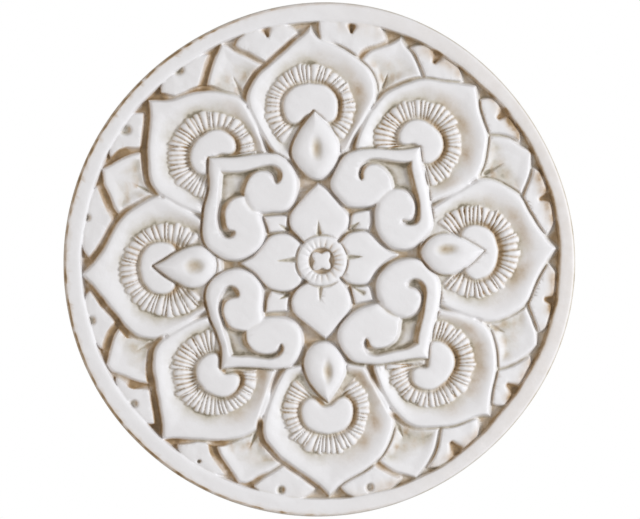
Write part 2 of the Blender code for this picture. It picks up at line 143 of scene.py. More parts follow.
# Cupped petals: the tip, the two sides, and the incised line's direction and distances
CUPS = (
    ((24.5, 140.0),
     ((22.1, 136.4), (19.5, 132.4), (17.5, 128.2), (15.2, 123.6)),
     ((27.9, 135.0), (30.8, 131.2), (32.5, 127.4), (34.1, 122.3)),
     (25.5, 109, 123)),
    ((67.5, 139.3),
     ((65.9, 135.6), (63.3, 132.7), (60.6, 127.9), (58.5, 123.6)),
     ((69.5, 133.8), (71.6, 129.9), (74.1, 126.3), (76.0, 119.6)),
     (67.7, 104, 118)),
    ((111.9, 139.4),
     ((110.7, 136.7), (109.1, 130.9), (106.9, 126.2), (104.2, 119.9)),
     ((114.4, 134.7), (116.9, 129.6), (119.0, 125.0), (121.5, 120.3)),
     (112.8, 108, 121)),
    ((154.7, 137.8),
     ((153.7, 136.0), (151.2, 132.4), (148.2, 127.3), (145.7, 121.4)),
     ((157.7, 134.6), (160.2, 129.1), (162.9, 124.6), (165.3, 119.6)),
     (155.2, 106, 118)),
    ((203.6, 138.6),
     ((200.7, 133.6), (198.3, 129.9), (196.4, 125.6), (195.0, 120.9)),
     ((205.4, 138.4), (207.6, 133.5), (210.6, 128.6), (213.5, 122.5)),
     (203.5, 109, 120)),
    ((247.4, 138.2),
     ((244.7, 133.7), (241.7, 129.7), (238.8, 125.4), (236.9, 119.0)),
     ((249.7, 137.1), (251.4, 131.2), (254.4, 125.8), (257.3, 118.8)),
     (246.8, 106, 118)),
    ((291.5, 139.7),
     ((288.8, 134.7), (286.7, 130.6), (284.7, 125.4), (283.3, 119.3)),
     ((294.5, 136.2), (298.0, 131.1), (300.7, 125.4), (303.4, 119.2)),
     (292.5, 104, 115)),
    ((336.3, 136.8),
     ((333.7, 134.5), (330.7, 130.0), (328.2, 125.8), (326.0, 121.0)),
     ((338.8, 134.3), (341.3, 129.9), (344.3, 125.0), (345.9, 123.1)),
     (336.4, 107, 117)),
)
# Flat hearts against the rim: the notch before and the notch after each cupped petal
NOTCHES = (((13.0, 136.8), (36.0, 136.5)), ((57.5, 136.8), (79.5, 136.0)),
           ((100.5, 136.0), (124.0, 138.2)), ((143.5, 136.4), (167.0, 138.2)),
           ((192.2, 138.0), (215.2, 136.8)), ((236.5, 136.4), (258.0, 135.4)),
           ((280.0, 135.4), (303.4, 134.0)), ((324.0, 134.6), (347.8, 136.6)))

# How far the rim's inner edge stands out from its circle, every 15 degrees
RIM_EDGE = (0.5, 0.8, 0.6, -0.8, 0.7, 0.7, -0.3, -0.5, -1.0, -1.5, -1.2, -1.5, -0.8, -0.8, -0.7,
            -0.8, -0.7, -0.4, -0.6, 0.3, 0.0, -1.2, -1.0, 0.2)
# The size of the hole in each notch, in the same order
HOLES = ((1.2, 1.2), (1.2, 0.7), (0.8, 1.6), (1.5, 1.2), (1.3, 1.1), (0.5, 1.1), (1.1, 1.2),
         (1.2, 1.2))

# Hearts round the middle, each from its tip round
HEARTS = (
    ((44.8, 2.2), (38.0, 6.0), (33.2, 10.4), (30.2, 14.2), (27.6, 16.4), (23.6, 17.0),
     (19.0, 16.6), (15.2, 14.9), (12.8, 12.6), (9.0, 8.0), (8.0, 0.0), (9.0, -7.0),
     (11.6, -10.2), (15.6, -13.6), (20.0, -14.6), (25.0, -14.4), (28.0, -12.6), (30.4, -8.6),
     (33.2, -4.8), (37.0, -1.6)),
    ((-0.6, 45.8), (-5.0, 42.0), (-8.6, 38.2), (-12.4, 34.4), (-15.4, 31.0), (-17.4, 28.0),
     (-18.0, 24.6), (-17.2, 20.8), (-15.0, 17.6), (-12.6, 15.2), (-8.0, 9.0), (0.0, 8.0),
     (8.0, 10.0), (12.4, 15.4), (15.0, 17.0), (16.8, 20.4), (17.4, 24.0), (16.8, 26.8),
     (14.6, 29.8), (11.6, 33.0), (8.4, 37.4), (5.0, 42.0)),
    ((-47.4, 1.0), (-41.6, 4.0), (-37.6, 7.4), (-34.0, 11.4), (-31.0, 15.2), (-27.2, 17.2),
     (-22.0, 17.8), (-17.8, 16.6), (-14.0, 13.8), (-9.0, 8.0), (-8.0, 0.0), (-9.6, -6.4),
     (-11.6, -10.6), (-14.6, -13.6), (-18.6, -15.8), (-22.6, -16.4), (-27.2, -15.6),
     (-31.2, -14.2), (-34.4, -11.2), (-37.4, -7.6), (-41.6, -3.4)),
    ((0.4, -45.0), (3.6, -42.4), (6.8, -38.8), (10.4, -34.8), (14.0, -30.8), (16.2, -27.0),
     (16.4, -23.0), (15.4, -18.8), (13.4, -15.2), (9.0, -9.0), (0.0, -8.0), (-8.6, -11.6),
     (-13.0, -13.8), (-16.4, -16.6), (-18.6, -20.2), (-19.0, -24.4), (-17.8, -28.6),
     (-15.2, -32.0), (-11.6, -35.0), (-7.4, -38.6), (-3.6, -42.2)),
)
# The incised line of each heart: start and end
HEART_LINES = (((15.4, 1.8), (24.4, 2.0)), ((-0.8, 14.6), (-0.9, 24.6)),
               ((-16.0, 1.8), (-26.6, 1.7)), ((-1.2, -12.6), (-1.8, -23.6)))

# The small leaves between the hearts, each with its incised line below
LEAVES = (
    (((29.8, 29.0), (22.6, 28.0), (18.6, 26.2), (18.0, 22.4), (17.2, 18.4)),
     ((17.2, 18.4), (22.0, 18.0), (28.4, 17.2)), ((28.4, 17.2), (30.2, 22.0), (29.8, 29.0))),
    (((-32.8, 28.0), (-31.0, 22.4), (-30.0, 18.4)), ((-30.0, 18.4), (-26.0, 18.8), (-19.4, 19.0)),
     ((-19.4, 19.0), (-18.9, 24.0), (-18.4, 27.8), (-25.0, 28.4), (-32.8, 28.0))),
    (((-34.0, -28.0), (-27.0, -28.0), (-21.0, -27.8)), ((-21.0, -27.8), (-20.4, -23.6),
     (-19.8, -19.2)), ((-19.8, -19.2), (-24.0, -17.8), (-30.2, -15.8)),
     ((-30.2, -15.8), (-32.8, -21.0), (-34.0, -28.0))),
    (((29.6, -23.8), (28.4, -18.0), (26.6, -15.2), (22.0, -15.8), (16.6, -15.6)),
     ((16.6, -15.6), (17.2, -20.0), (18.6, -25.6)), ((18.6, -25.6), (23.6, -24.8), (29.6, -23.8))),
)
LEAF_LINES = (((18.6, 18.8), (23.4, 22.4)), ((-18.4, 19.4), (-24.6, 23.6)),
              ((-19.6, -18.0), (-26.0, -21.0)), ((24.0, -19.8), (16.6, -15.0)))

# Drops: the outline from the tip round, and the middle and half-sizes of the dimple
TEARDROPS = (
    (((95.4, 2.2), (89.0, 6.4), (82.0, 10.6), (76.0, 13.0), (70.0, 13.0), (64.8, 11.0),
      (60.6, 7.4), (58.4, 2.2), (60.6, -3.4), (64.4, -7.8), (70.0, -10.6), (76.0, -10.8),
      (82.0, -8.6), (89.0, -3.6)), (74.0, 3.8, 6.6, 3.4)),
    (((-0.2, 88.2), (-5.4, 82.4), (-10.4, 76.0), (-14.0, 69.4), (-15.0, 63.8), (-13.2, 58.6),
      (-9.6, 53.6), (-5.0, 49.2), (0.4, 47.6), (5.4, 49.8), (10.0, 55.0), (13.0, 60.2),
      (13.8, 65.2), (12.6, 70.6), (9.4, 76.8), (4.8, 83.0)), (0.0, 66.0, 3.4, 6.6)),
    (((-97.6, 1.4), (-91.6, -4.4), (-84.0, -9.2), (-77.6, -12.2), (-71.6, -11.6),
      (-66.0, -8.0), (-62.6, -3.6), (-61.2, 1.6), (-62.6, 6.0), (-66.2, 10.4), (-71.6, 12.8),
      (-77.6, 12.2), (-84.0, 9.6), (-91.0, 5.2)), (-74.4, 0.6, 5.6, 4.4)),
    (((0.2, -82.0), (4.6, -76.4), (8.6, -70.4), (11.0, -65.0), (11.6, -60.0), (9.4, -54.4),
      (5.4, -49.4), (0.0, -46.4), (-5.8, -47.2), (-10.4, -51.0), (-13.0, -57.0),
      (-12.8, -63.0), (-10.6, -69.0), (-6.0, -76.4)), (1.0, -64.6, 2.6, 6.6)),
)

# Scrolled hearts: the body in two runs from the tip to the notch and back
SCROLLS = (
    (((60.4, 64.6), (56.0, 64.0), (50.0, 63.4), (42.0, 64.0), (35.0, 64.8), (27.0, 64.8),
      (21.6, 63.8), (17.6, 62.4), (14.8, 60.6), (12.6, 57.4), (10.6, 54.0), (8.6, 50.6),
      (6.6, 47.0), (6.6, 43.6), (8.4, 39.6), (11.4, 35.8), (15.2, 32.0), (18.4, 30.6),
      (25.0, 30.4), (29.6, 30.8), (32.6, 31.8)),
     ((32.6, 31.8), (31.8, 28.0), (31.6, 24.0), (31.8, 19.6), (33.0, 15.6), (35.4, 11.6),
      (38.4, 8.0), (41.4, 5.8), (45.4, 4.8), (50.0, 4.4), (54.2, 5.4), (57.2, 7.4),
      (60.6, 10.8), (64.2, 14.0), (66.0, 17.6), (66.0, 22.4), (65.4, 30.0), (64.0, 40.0),
      (62.2, 50.0), (61.0, 58.0), (60.4, 64.6))),
    (((-63.0, 63.4), (-63.8, 58.0), (-63.4, 51.6), (-63.8, 46.0), (-65.2, 40.4), (-67.0, 35.2),
      (-68.0, 30.0), (-68.6, 25.0), (-69.0, 20.0), (-68.8, 16.0), (-67.2, 12.0), (-63.8, 8.6),
      (-59.2, 5.2), (-54.4, 3.2), (-49.6, 2.6), (-44.6, 3.6), (-39.8, 6.0), (-36.0, 9.2),
      (-33.0, 13.0), (-31.8, 17.6), (-32.4, 22.0), (-33.8, 26.2), (-34.4, 30.0)),
     ((-34.4, 30.0), (-29.0, 30.4), (-23.0, 30.2), (-18.6, 30.6), (-15.6, 32.8), (-13.2, 36.6),
      (-11.8, 41.0), (-11.4, 46.0), (-11.8, 50.6), (-13.6, 54.8), (-15.4, 58.0), (-18.4, 61.0),
      (-22.4, 63.6), (-27.0, 64.8), (-33.0, 64.8), (-40.0, 64.0), (-47.0, 63.2),
      (-55.0, 63.4), (-63.0, 63.4))),
    (((-61.2, -60.2), (-56.0, -60.0), (-50.0, -59.8), (-42.0, -60.4), (-35.0, -61.4),
      (-29.0, -62.2), (-23.4, -61.8), (-19.2, -60.0), (-16.4, -57.0), (-14.6, -52.6),
      (-12.9, -48.0), (-12.6, -43.4), (-13.8, -38.6), (-16.4, -34.8), (-20.2, -32.2),
      (-25.0, -31.0), (-30.0, -31.0), (-35.0, -31.0)),
     ((-35.0, -31.0), (-36.0, -27.0), (-35.0, -21.6), (-34.4, -16.6), (-35.2, -12.0),
      (-37.8, -8.0), (-41.6, -4.6), (-46.2, -2.0), (-51.0, -1.6), (-55.8, -2.4), (-60.6, -4.8),
      (-65.4, -8.2), (-68.2, -13.0), (-69.0, -18.0), (-68.2, -23.0), (-67.2, -28.0),
      (-65.6, -33.2), (-63.4, -38.4), (-61.6, -43.6), (-60.6, -48.6), (-60.6, -54.0),
      (-61.2, -60.2))),
    (((60.0, -59.6), (60.6, -54.0), (61.8, -49.0), (63.2, -44.4), (64.4, -40.0), (66.2, -34.4),
      (67.6, -29.0), (68.6, -23.4), (68.8, -18.6), (67.8, -13.2), (65.4, -8.6), (61.8, -4.8),
      (57.6, -1.4), (53.0, 0.2), (47.4, -0.2), (42.2, -1.8), (37.4, -4.8), (33.4, -8.4),
      (31.2, -12.4), (30.6, -17.0), (31.4, -21.4), (32.4, -25.0)),
     ((32.4, -25.0), (27.6, -26.2), (22.6, -27.6), (18.0, -29.8), (13.2, -33.2), (9.2, -37.4),
      (7.2, -41.4), (6.8, -46.2), (8.8, -51.0), (11.4, -55.4), (14.4, -58.6), (18.2, -60.2),
      (24.0, -61.2), (31.0, -61.4), (38.0, -61.0), (43.4, -60.2), (50.0, -59.2),
      (56.0, -59.2), (60.0, -59.6))),
)
# The pocket of each scroll: its outer wall from the corner to one hook, the walls of the two
# lobes with the corner between them, and the outer wall back from the other hook
POCKETS = (
    (((55.4, 56.2), (50.4, 56.2), (45.4, 57.0), (40.4, 58.4), (35.4, 59.2), (30.4, 58.8),
      (27.2, 57.0), (25.0, 54.2), (23.6, 50.6), (24.0, 47.4), (25.4, 46.2), (26.8, 46.8),
      (26.6, 49.4), (27.4, 52.4), (29.4, 54.8), (32.0, 55.6), (35.0, 55.2), (38.2, 53.0),
      (41.0, 49.2), (42.6, 45.8), (43.4, 40.8)),
     ((43.4, 40.8), (46.4, 40.6), (50.0, 39.6), (53.0, 37.2), (55.0, 33.8), (56.0, 30.0),
      (55.8, 26.8), (55.0, 24.0), (53.4, 22.2), (51.2, 21.8), (49.4, 22.8), (47.8, 22.8),
      (47.4, 21.4), (48.8, 19.8), (51.4, 18.8), (55.0, 18.8), (57.8, 19.8), (59.0, 22.4),
      (59.4, 26.0), (59.2, 31.0), (58.2, 38.0), (56.6, 45.0), (55.6, 51.0), (55.4, 56.2))),
    (((-56.4, 55.4), (-57.2, 51.6), (-57.8, 46.0), (-58.6, 40.0), (-59.4, 34.0), (-60.2, 28.6),
      (-59.8, 23.6), (-58.8, 19.6), (-56.8, 16.8), (-53.8, 15.6), (-51.0, 16.2),
      (-49.4, 18.2), (-49.6, 20.4), (-51.2, 20.4), (-53.2, 20.8), (-54.6, 23.0),
      (-55.2, 27.0), (-55.0, 31.2), (-53.8, 34.6), (-51.0, 37.8), (-47.4, 39.6),
      (-43.6, 40.2)),
     ((-43.6, 40.2), (-43.0, 43.6), (-41.8, 47.4), (-39.6, 51.0), (-36.2, 53.6), (-32.2, 54.4),
      (-28.8, 53.4), (-26.8, 51.2), (-26.0, 48.4), (-25.2, 46.6), (-23.2, 46.4),
      (-21.6, 48.2), (-20.6, 51.4), (-21.6, 54.8), (-24.0, 57.2), (-27.2, 58.0),
      (-32.2, 57.4), (-38.0, 56.0), (-44.0, 54.8), (-50.0, 54.6), (-56.4, 55.4))),
    (((-55.2, -53.0), (-50.0, -53.8), (-44.6, -53.8), (-39.4, -54.8), (-34.0, -55.8),
      (-29.4, -55.2), (-26.2, -53.4), (-24.2, -50.6), (-24.2, -48.0), (-25.4, -46.6),
      (-26.8, -47.4), (-27.6, -49.6), (-29.8, -51.6), (-33.2, -52.4), (-37.0, -52.0),
      (-41.0, -50.4), (-44.0, -47.8), (-45.6, -44.6), (-46.0, -38.4)),
     ((-46.0, -38.4), (-49.0, -38.0), (-52.4, -37.0), (-55.4, -35.0), (-57.6, -31.8),
      (-58.6, -28.0), (-58.4, -24.2), (-57.0, -21.2), (-54.4, -19.6), (-51.4, -19.0),
      (-49.2, -19.0), (-48.6, -16.6), (-49.6, -14.0), (-51.8, -12.0), (-54.4, -11.4),
      (-57.2, -13.2), (-60.0, -17.0), (-61.4, -21.2), (-61.8, -26.0), (-61.0, -30.4),
      (-59.8, -35.4), (-58.2, -40.6), (-57.0, -45.6), (-56.0, -50.0), (-55.2, -53.0))),
    (((54.6, -50.6), (55.4, -45.0), (56.8, -39.0), (58.4, -33.0), (59.8, -26.4), (60.6, -20.0),
      (59.8, -16.0), (57.8, -13.6), (55.2, -12.4), (53.0, -12.2), (50.0, -13.6),
      (48.2, -15.8), (50.0, -17.4), (52.6, -17.8), (55.0, -19.6), (56.6, -22.4),
      (56.6, -26.2), (55.2, -30.0), (52.6, -33.0), (49.0, -34.6), (44.6, -35.2)),
     ((44.6, -35.2), (43.8, -39.0), (43.4, -42.6), (41.8, -46.4), (38.8, -49.4),
      (35.0, -51.4), (31.0, -52.0), (28.0, -51.4), (26.0, -49.6), (25.4, -47.2),
      (24.4, -45.4), (22.8, -46.8), (22.0, -49.4), (23.0, -53.0), (25.8, -55.8),
      (30.2, -56.6), (36.0, -55.6), (42.0, -54.6), (47.0, -54.0), (51.0, -52.6),
      (54.6, -50.6))),
)
# The crease between the two lobes of each scroll: its points and its depth
SEAMS = ((((43.4, 41.4), (38.6, 37.6), (34.6, 34.0), (32.6, 31.4)), 0.9),
         (((-43.4, 40.6), (-42.4, 36.0), (-39.0, 31.8), (-34.4, 30.0)), 1.2),
         (((-46.0, -38.6), (-42.0, -36.4), (-38.0, -34.6), (-35.2, -31.2)), 0.7),
         (((44.8, -35.2), (39.6, -32.4), (35.0, -29.0), (32.0, -25.2)), 2.2))

# The grooves round the hearts, scrolls and drops: narrower, cleaner and paler than the outer ones
INNER_GROOVE = {"spread": 0.5, "near": 0.85, "line": 0.35}

# The photograph's size, and the disc's radius and middle in it, all in pixels, and its roll
PHOTO_WIDTH, PHOTO_HEIGHT = 640.0, 519.0
RADIUS_IN_PHOTO = 256.6
MIDDLE_IN_PHOTO = (319.1, 260.35)
ROLL_IN_PHOTO = 2.5
# Each light: its place, its width in metres, its power in watts and its colour
LIGHTS = (("key", (1.7, -1.05, 0.05), 0.6, 28.0, (0.93, 0.96, 1.0)),
          ("fill", (-1.3, -1.6, 0.1), 1.2, 6.0, (1.0, 0.91, 0.82)))
# The white round the stage, as light and as the camera sees it
WORLD_LIGHT, WORLD_SEEN = 0.49, 1.0


class PlaqueSizes(bpy.types.PropertyGroup):
    """Sizes of the carving that a user may change."""

    mesh_step: bpy.props.FloatProperty(
        name="Mesh step", description="Distance between the points of the carved face",
        default=0.0005, unit='LENGTH')
    slab: bpy.props.FloatProperty(
        name="Slab", description="Thickness from the back to the ground of the carving",
        default=0.011, unit='LENGTH')
    rim_width: bpy.props.FloatProperty(
        name="Rim width", description="Width of the flat rim", default=0.0099, unit='LENGTH')
    relief: bpy.props.FloatProperty(
        name="Relief", description="Depth of the carving as a share of the real one",
        default=1.0, subtype='FACTOR')
    flutes: bpy.props.IntProperty(
        name="Flutes", description="Flutes that fit round a whole ring", default=50)
    faces_kept: bpy.props.FloatProperty(
        name="Faces kept", description="Share of the faces left once flat parts are thinned",
        default=0.35, subtype='FACTOR')
    recess_width: bpy.props.FloatProperty(
        name="Recess width", description="Width of the hanging recess", default=0.026,
        unit='LENGTH')
    recess_height: bpy.props.FloatProperty(
        name="Recess height", description="Height of the mouth of the hanging recess",
        default=0.014, unit='LENGTH')
    recess_depth: bpy.props.FloatProperty(
        name="Recess depth", description="Depth of the hanging recess", default=0.008,
        unit='LENGTH')
    recess_catch: bpy.props.FloatProperty(
        name="Recess catch", description="Rise of the recess's roof behind its mouth",
        default=0.003, unit='LENGTH')
    back_chamfer: bpy.props.FloatProperty(
        name="Back chamfer", description="Chamfer of the edge against the wall",
        default=0.002, unit='LENGTH')
    recess_top: bpy.props.FloatProperty(
        name="Recess top", description="Height of the recess's upper edge over the middle",
        default=0.098, unit='LENGTH')


class PlaqueFinish(bpy.types.PropertyGroup):
    """Colours of the plaque and of the stage."""

    white: bpy.props.FloatVectorProperty(
        name="White", description="The glaze on the high parts", subtype='COLOR', size=4,
        default=(0.81, 0.795, 0.80, 1.0))
    taupe: bpy.props.FloatVectorProperty(
        name="Taupe", description="The thin wash in shallow places", subtype='COLOR', size=4,
        default=(0.565, 0.52, 0.44, 1.0))
    # Tan, brown and dark brown are the brown wash and also the painted shade on the sides turned
    # from the light
    tan: bpy.props.FloatVectorProperty(
        name="Tan", description="The brown wash where it runs out", subtype='COLOR', size=4,
        default=(0.60, 0.47, 0.34, 1.0))
    brown: bpy.props.FloatVectorProperty(
        name="Brown", description="The brown wash beside the walls", subtype='COLOR', size=4,
        default=(0.43, 0.29, 0.155, 1.0))
    dark_brown: bpy.props.FloatVectorProperty(
        name="Dark brown", description="The brown wash where it lies thickest",
        subtype='COLOR', size=4, default=(0.215, 0.14, 0.07, 1.0))
    # Umber is also the painted shade at the bottom of cuts and holes
    umber: bpy.props.FloatVectorProperty(
        name="Umber", description="The wash at the bottom of cuts and holes", subtype='COLOR',
        size=4, default=(0.27, 0.235, 0.17, 1.0))
    floor: bpy.props.FloatVectorProperty(
        name="Floor", description="The plain pale floor", subtype='COLOR', size=4,
        default=(0.86, 0.86, 0.86, 1.0))


# Outlines in drawn units


def smooth_run(points, step):
    """Evenly spaced points on a smooth curve through the given ones, without the last."""
    given = np.array(points, float)
    ends = np.vstack([2 * given[0] - given[1], given, 2 * given[-1] - given[-2]])
    t = (np.arange(16) / 16)[:, None]
    fine = []
    for before, start, stop, after in zip(ends, ends[1:], ends[2:], ends[3:]):
        fine.append(0.5 * (2 * start + (stop - before) * t
                           + (2 * before - 5 * start + 4 * stop - after) * t ** 2
                           + (3 * start - before - 3 * stop + after) * t ** 3))
    fine = np.vstack(fine + [given[-1:]])
    lengths = np.concatenate([[0.0], np.cumsum(np.hypot(*np.diff(fine, axis=0).T))])
    pieces = max(2, round(lengths[-1] / step))
    targets = lengths[-1] * np.arange(pieces) / pieces
    return np.column_stack([np.interp(targets, lengths, fine[:, axis]) for axis in (0, 1)])


def eased(points, rounds):
    """An open run of points with its kinks evened out and its ends kept."""
    points = points.copy()
    for _ in range(rounds):
        points[1:-1] = points[1:-1] / 2 + (points[:-2] + points[2:]) / 4
    return points


def outline(runs, step=1.2, rounds=0):
    """A closed outline, counter-clockwise, from smooth runs that meet at corners."""
    parts = []
    for run in runs:
        whole = np.vstack([smooth_run(run, step), np.array(run[-1:], float)])
        parts.append(eased(whole, rounds)[:-1])
    points = np.vstack(parts)
    x, y = points.T
    area = np.sum(x * np.roll(y, -1) - np.roll(x, -1) * y)
    return points if area > 0 else points[::-1]


def round_outline(points):
    """A closed outline that starts and ends at its one corner."""
    return outline([tuple(points) + (points[0],)], rounds=3)


def polar(angle, radius):
    """A drawn point from its direction in degrees and its distance."""
    angle = np.radians(angle)
    return np.stack([np.cos(angle) * radius, np.sin(angle) * radius], -1)


def axes(direction):
    """The way across a motif and the way outward, from its direction in degrees."""
    angle = math.radians(direction)
    outward = np.array([math.cos(angle), math.sin(angle)])
    return np.array([outward[1], -outward[0]]), outward


def local(points, direction, middle_radius=0.0):
    """Points seen from a motif's middle, with its direction up."""
    across, outward = axes(direction)
    arm = points - outward * middle_radius
    return arm @ across, arm @ outward


def petal_outline(index):
    """The large petal's ogee tip, its sides to the next petals and its foot under the scrolls."""
    tip, left, right = PETALS[index]
    before, after = MEETINGS[index - 1], MEETINGS[index]
    if index == 0:
        before = (before[0] - 360, before[1], before[2] - 360)
    runs = []
    for side, points, meeting in ((1, left, before), (-1, right, after)):
        low = [polar(meeting[0] + side * 0.25, meeting[1] - 3.0),
               polar((meeting[0] + meeting[2]) / 2 + side * 0.25, 90.0),
               polar(meeting[2] + side * 0.7, 76.0), polar(meeting[2] + side * 2.0, 66.0)]
        runs.append([polar(*tip)] + [polar(*point) for point in points] + low)
    foot = [runs[0][-1], polar(tip[0], 58.0), runs[1][-1]]
    return outline([runs[1], foot[::-1], runs[0][::-1]], rounds=14)


def button_outline(index):
    """A round button with two lobes at its foot, where a tip cuts into it."""
    direction, top, half, left, right = BUTTONS[index]
    shoulder = [(0.0, 0.0), (0.52 * half, -0.115 * half), (0.87 * half, -0.40 * half),
                (1.0 * half, -0.80 * half)]

    def side(foot):
        return shoulder + [(0.93 * half, -foot + 3.6), (0.70 * half, -foot + 0.4),
                           (0.44 * half, -foot + 1.2), (0.16 * half, -foot + 5.0)]

    loop = side(right) + [(-x, y) for x, y in reversed(side(left)[1:])]
    across, outward = axes(direction)
    spread = np.array([outward * (top + y) + across * x for x, y in loop])
    return outline([np.vstack([spread, spread[:1]])])


def cup_outline(index):
    """A cupped petal, its foot in the V between two large petals."""
    tip, left, right, _ = CUPS[index]
    meeting = MEETINGS[index]
    foot = polar(meeting[0], meeting[1] - 6.0)
    sides = [[polar(*tip)] + [polar(*point) for point in side] for side in (left, right)]
    low = [sides[1][-1], polar(meeting[0] + 4.5, 112.0), foot, polar(meeting[0] - 4.5, 112.0),
           sides[0][-1]]
    return outline([sides[1], low, sides[0][::-1]], rounds=5)


def rim_heart_outline(cup, after):
    """A flat heart between a cup, a large petal and the rim, its point inward."""
    tip, left, right, _ = CUPS[cup]
    petal = PETALS[(cup + after) % 8][0][0]
    if after and petal < tip[0]:
        petal += 360
    notch, low = NOTCHES[cup][after]
    point = (right if after else left)[-1]
    away = 1 if after else -1
    side_angle = tip[0] + away * 1.6
    far_angle = petal - away * 1.9
    reach = 144.0 if 60 < notch < 96 else 141.2

    def lobe(edge, share):
        return notch + (edge - notch) * share

    first = [(side_angle + away * 0.3, 127.0), (side_angle + away * 0.4, 131.5),
             (lobe(side_angle, 0.84), 136.2), (lobe(side_angle, 0.6), reach - 1.4),
             (lobe(side_angle, 0.3), reach), (notch, reach)]
    second = [(notch, reach), (lobe(far_angle, 0.3), reach), (lobe(far_angle, 0.56), reach - 1.4),
              (lobe(far_angle, 0.78), 136.2), (lobe(far_angle, 0.93), 131.5),
              (far_angle - away * 1.2, 127.0)]
    base = [(far_angle - away * 1.2, 127.0), (point[0] + away * 1.0, 119.0),
            (side_angle + away * 0.3, 127.0)]
    return outline([[polar(*spot) for spot in run] for run in (first, second, base)], rounds=7)


# The field: heights over the ground in drawn units, at points of the plane


class Field:
    """Points of the face, the height at each and what lies there.

    stain is thin wash; tan is brown wash together with the brown painted as shade beside
    the sides turned from the light; ink_and_shade is the dark in cuts, holes and groove lines, wash
    and painted shade; and calm is the share of the wash and painted shade that is taken off.
    """

    def __init__(self, points):
        self.points = points
        self.height = np.zeros(len(points))
        self.stain = np.full(len(points), 0.2)
        self.tan = np.full(len(points), 0.4)
        self.ink_and_shade = np.zeros(len(points))
        self.calm = np.zeros(len(points))

    def near(self, low, high, margin):
        """The places of the points in a box with a margin round it."""
        inside = np.all((self.points > low - margin) & (self.points < high + margin), axis=1)
        return np.flatnonzero(inside)


def signed_distance(points, loop):
    """Distance to a closed outline, positive inside, and which way its side faces there.

    The facing is 1 where the side nearest to a point is turned to the left and -1 to the right.
    """
    x, y = points.T
    best = np.full(len(points), np.inf)
    sideways = np.zeros(len(points))
    inside = np.zeros(len(points), bool)
    for start, stop in zip(loop, np.roll(loop, -1, axis=0)):
        side = stop - start
        along = ((x - start[0]) * side[0] + (y - start[1]) * side[1]) / (side @ side)
        along = np.clip(along, 0, 1)
        gap_x = x - start[0] - along * side[0]
        gap_y = y - start[1] - along * side[1]
        square = gap_x * gap_x + gap_y * gap_y
        nearer = square < best
        best[nearer] = square[nearer]
        sideways[nearer] = gap_x[nearer]
        if side[1]:
            crossing = (start[1] > y) != (stop[1] > y)
            inside ^= crossing & (x < start[0] + (y - start[1]) * side[0] / side[1])
    depth = np.where(inside, 1.0, -1.0) * np.sqrt(best + 1e-12)
    return depth, np.clip(sideways / depth, -1, 1)


def distance_to_line(points, line):
    """Distance of each point to an open line."""
    x, y = points.T
    best = np.full(len(points), np.inf)
    for start, stop in zip(line, line[1:]):
        side = stop - start
        along = ((x - start[0]) * side[0] + (y - start[1]) * side[1]) / (side @ side)
        along = np.clip(along, 0, 1)
        best = np.minimum(best, (x - start[0] - along * side[0]) ** 2
                          + (y - start[1] - along * side[1]) ** 2)
    return np.sqrt(best)


def ease(value):
    """0 below 0, 1 above 1 and a smooth step between."""
    value = np.clip(value, 0, 1)
    return value * value * (3 - 2 * value)


def left_gap_and_shadow(points):
    """Where the gaps between motifs stand wide open, with painted shadow: round the left, near the
    rim.
    """
    reach = np.hypot(*points.T)
    left = np.clip(-1.6 * points[:, 0] / reach, 0, 1)
    return left * ease((reach - 114) / 8) * np.clip(0.75 + 0.5 * wander(points, 12.0, 31), 0, 1)


def lay(field, loop, top, groove, floor, wall, lip, lip_width=1.6, stain=0.0, tan=None,
        spread=0.8, near=1.0, far=0.0, line=0.45, soft=0.0):
    """Sets a motif over what is there: a groove round it, its wall, its lip and its top.

    Groove, wall and lip_width are widths, and floor, top, lip and soft are heights: the groove's
    floor, the motif's top, how far the top falls at its edge, and how much shallower the groove
    is along the sides turned to the right. The groove is wider, by spread, along the sides turned
    to the left, and with far also along the sides turned to the right, and there it is painted
    brown as the shade of the walls and the shadow they cast. With a small near the left ones stay
    cleaner. Stain is the wash on top and tan the brown on top, wash and painted shade,
    and line is the dark line along the groove, painted paler where its side is lit.
    """
    places = field.near(loop.min(0), loop.max(0), groove * (1 + spread) + 1.5)
    points = field.points[places]
    depth, facing = signed_distance(points, loop)
    shade = near * np.clip(facing, 0, 1) + far * np.clip(-facing, 0, 1)
    around = field.height[places]
    low = floor(points) if callable(floor) else floor
    lit = ease(0.3 - 1.5 * facing) if soft else 0.0
    low = low + soft * lit
    # Round the left, near the rim, the gaps are wider and painted brown with the shadow cast into
    # them
    gap = left_gap_and_shadow(points)
    shade = np.maximum(shade, gap)
    trench = groove * (1 + spread * shade) + 0.4 * gap
    band = ease((depth + trench + 0.5) / groove)
    sunk = np.minimum(around, low + 0.2 * np.maximum(around - low, 0))
    around = around + (sunk - around) * band
    heights = top(points, depth) if callable(top) else np.full(len(points), float(top))
    heights = heights - lip * np.exp(-(np.maximum(depth, 0) / lip_width) ** 1.2)
    share = ease((depth + wall * 0.45) / wall)
    field.height[places] = around + (heights - around) * share
    amount = stain(points, depth) if callable(stain) else stain
    field.stain[places] += (amount - field.stain[places]) * ease(depth + 0.5)
    sunken = np.clip((5.7 - low) / 2.5, 0, 1)
    field.tan[places] *= 1 - band
    # Brown painted in the groove beside the sides turned from the light, as their shade and cast
    # shadow, over the wash
    beside = np.clip(1 + np.minimum(depth, 0) / (trench + 0.6), 0, 1) ** (0.7 - 0.4 * gap)
    field.tan[places] += shade * sunken * beside * (1 - ease(depth / 1.2 + 0.7))
    if tan:
        field.tan[places] += tan(points, depth) * ease(depth)
    middle = np.exp(-((depth + trench * 0.45) / (trench * 0.6)) ** 2) * (1 - near * shade)
    inked = line * sunken * middle * (1 - 0.6 * lit)
    field.ink_and_shade[places] += (inked - field.ink_and_shade[places]) * band
    calm = ease((3.2 - depth) / 1.6) * (1 - sunken)
    calm = np.maximum(calm, (1 - near) * np.clip(facing, 0, 1) * ease((2.5 - depth) / 1.2))
    field.calm[places] += (calm - field.calm[places]) * band


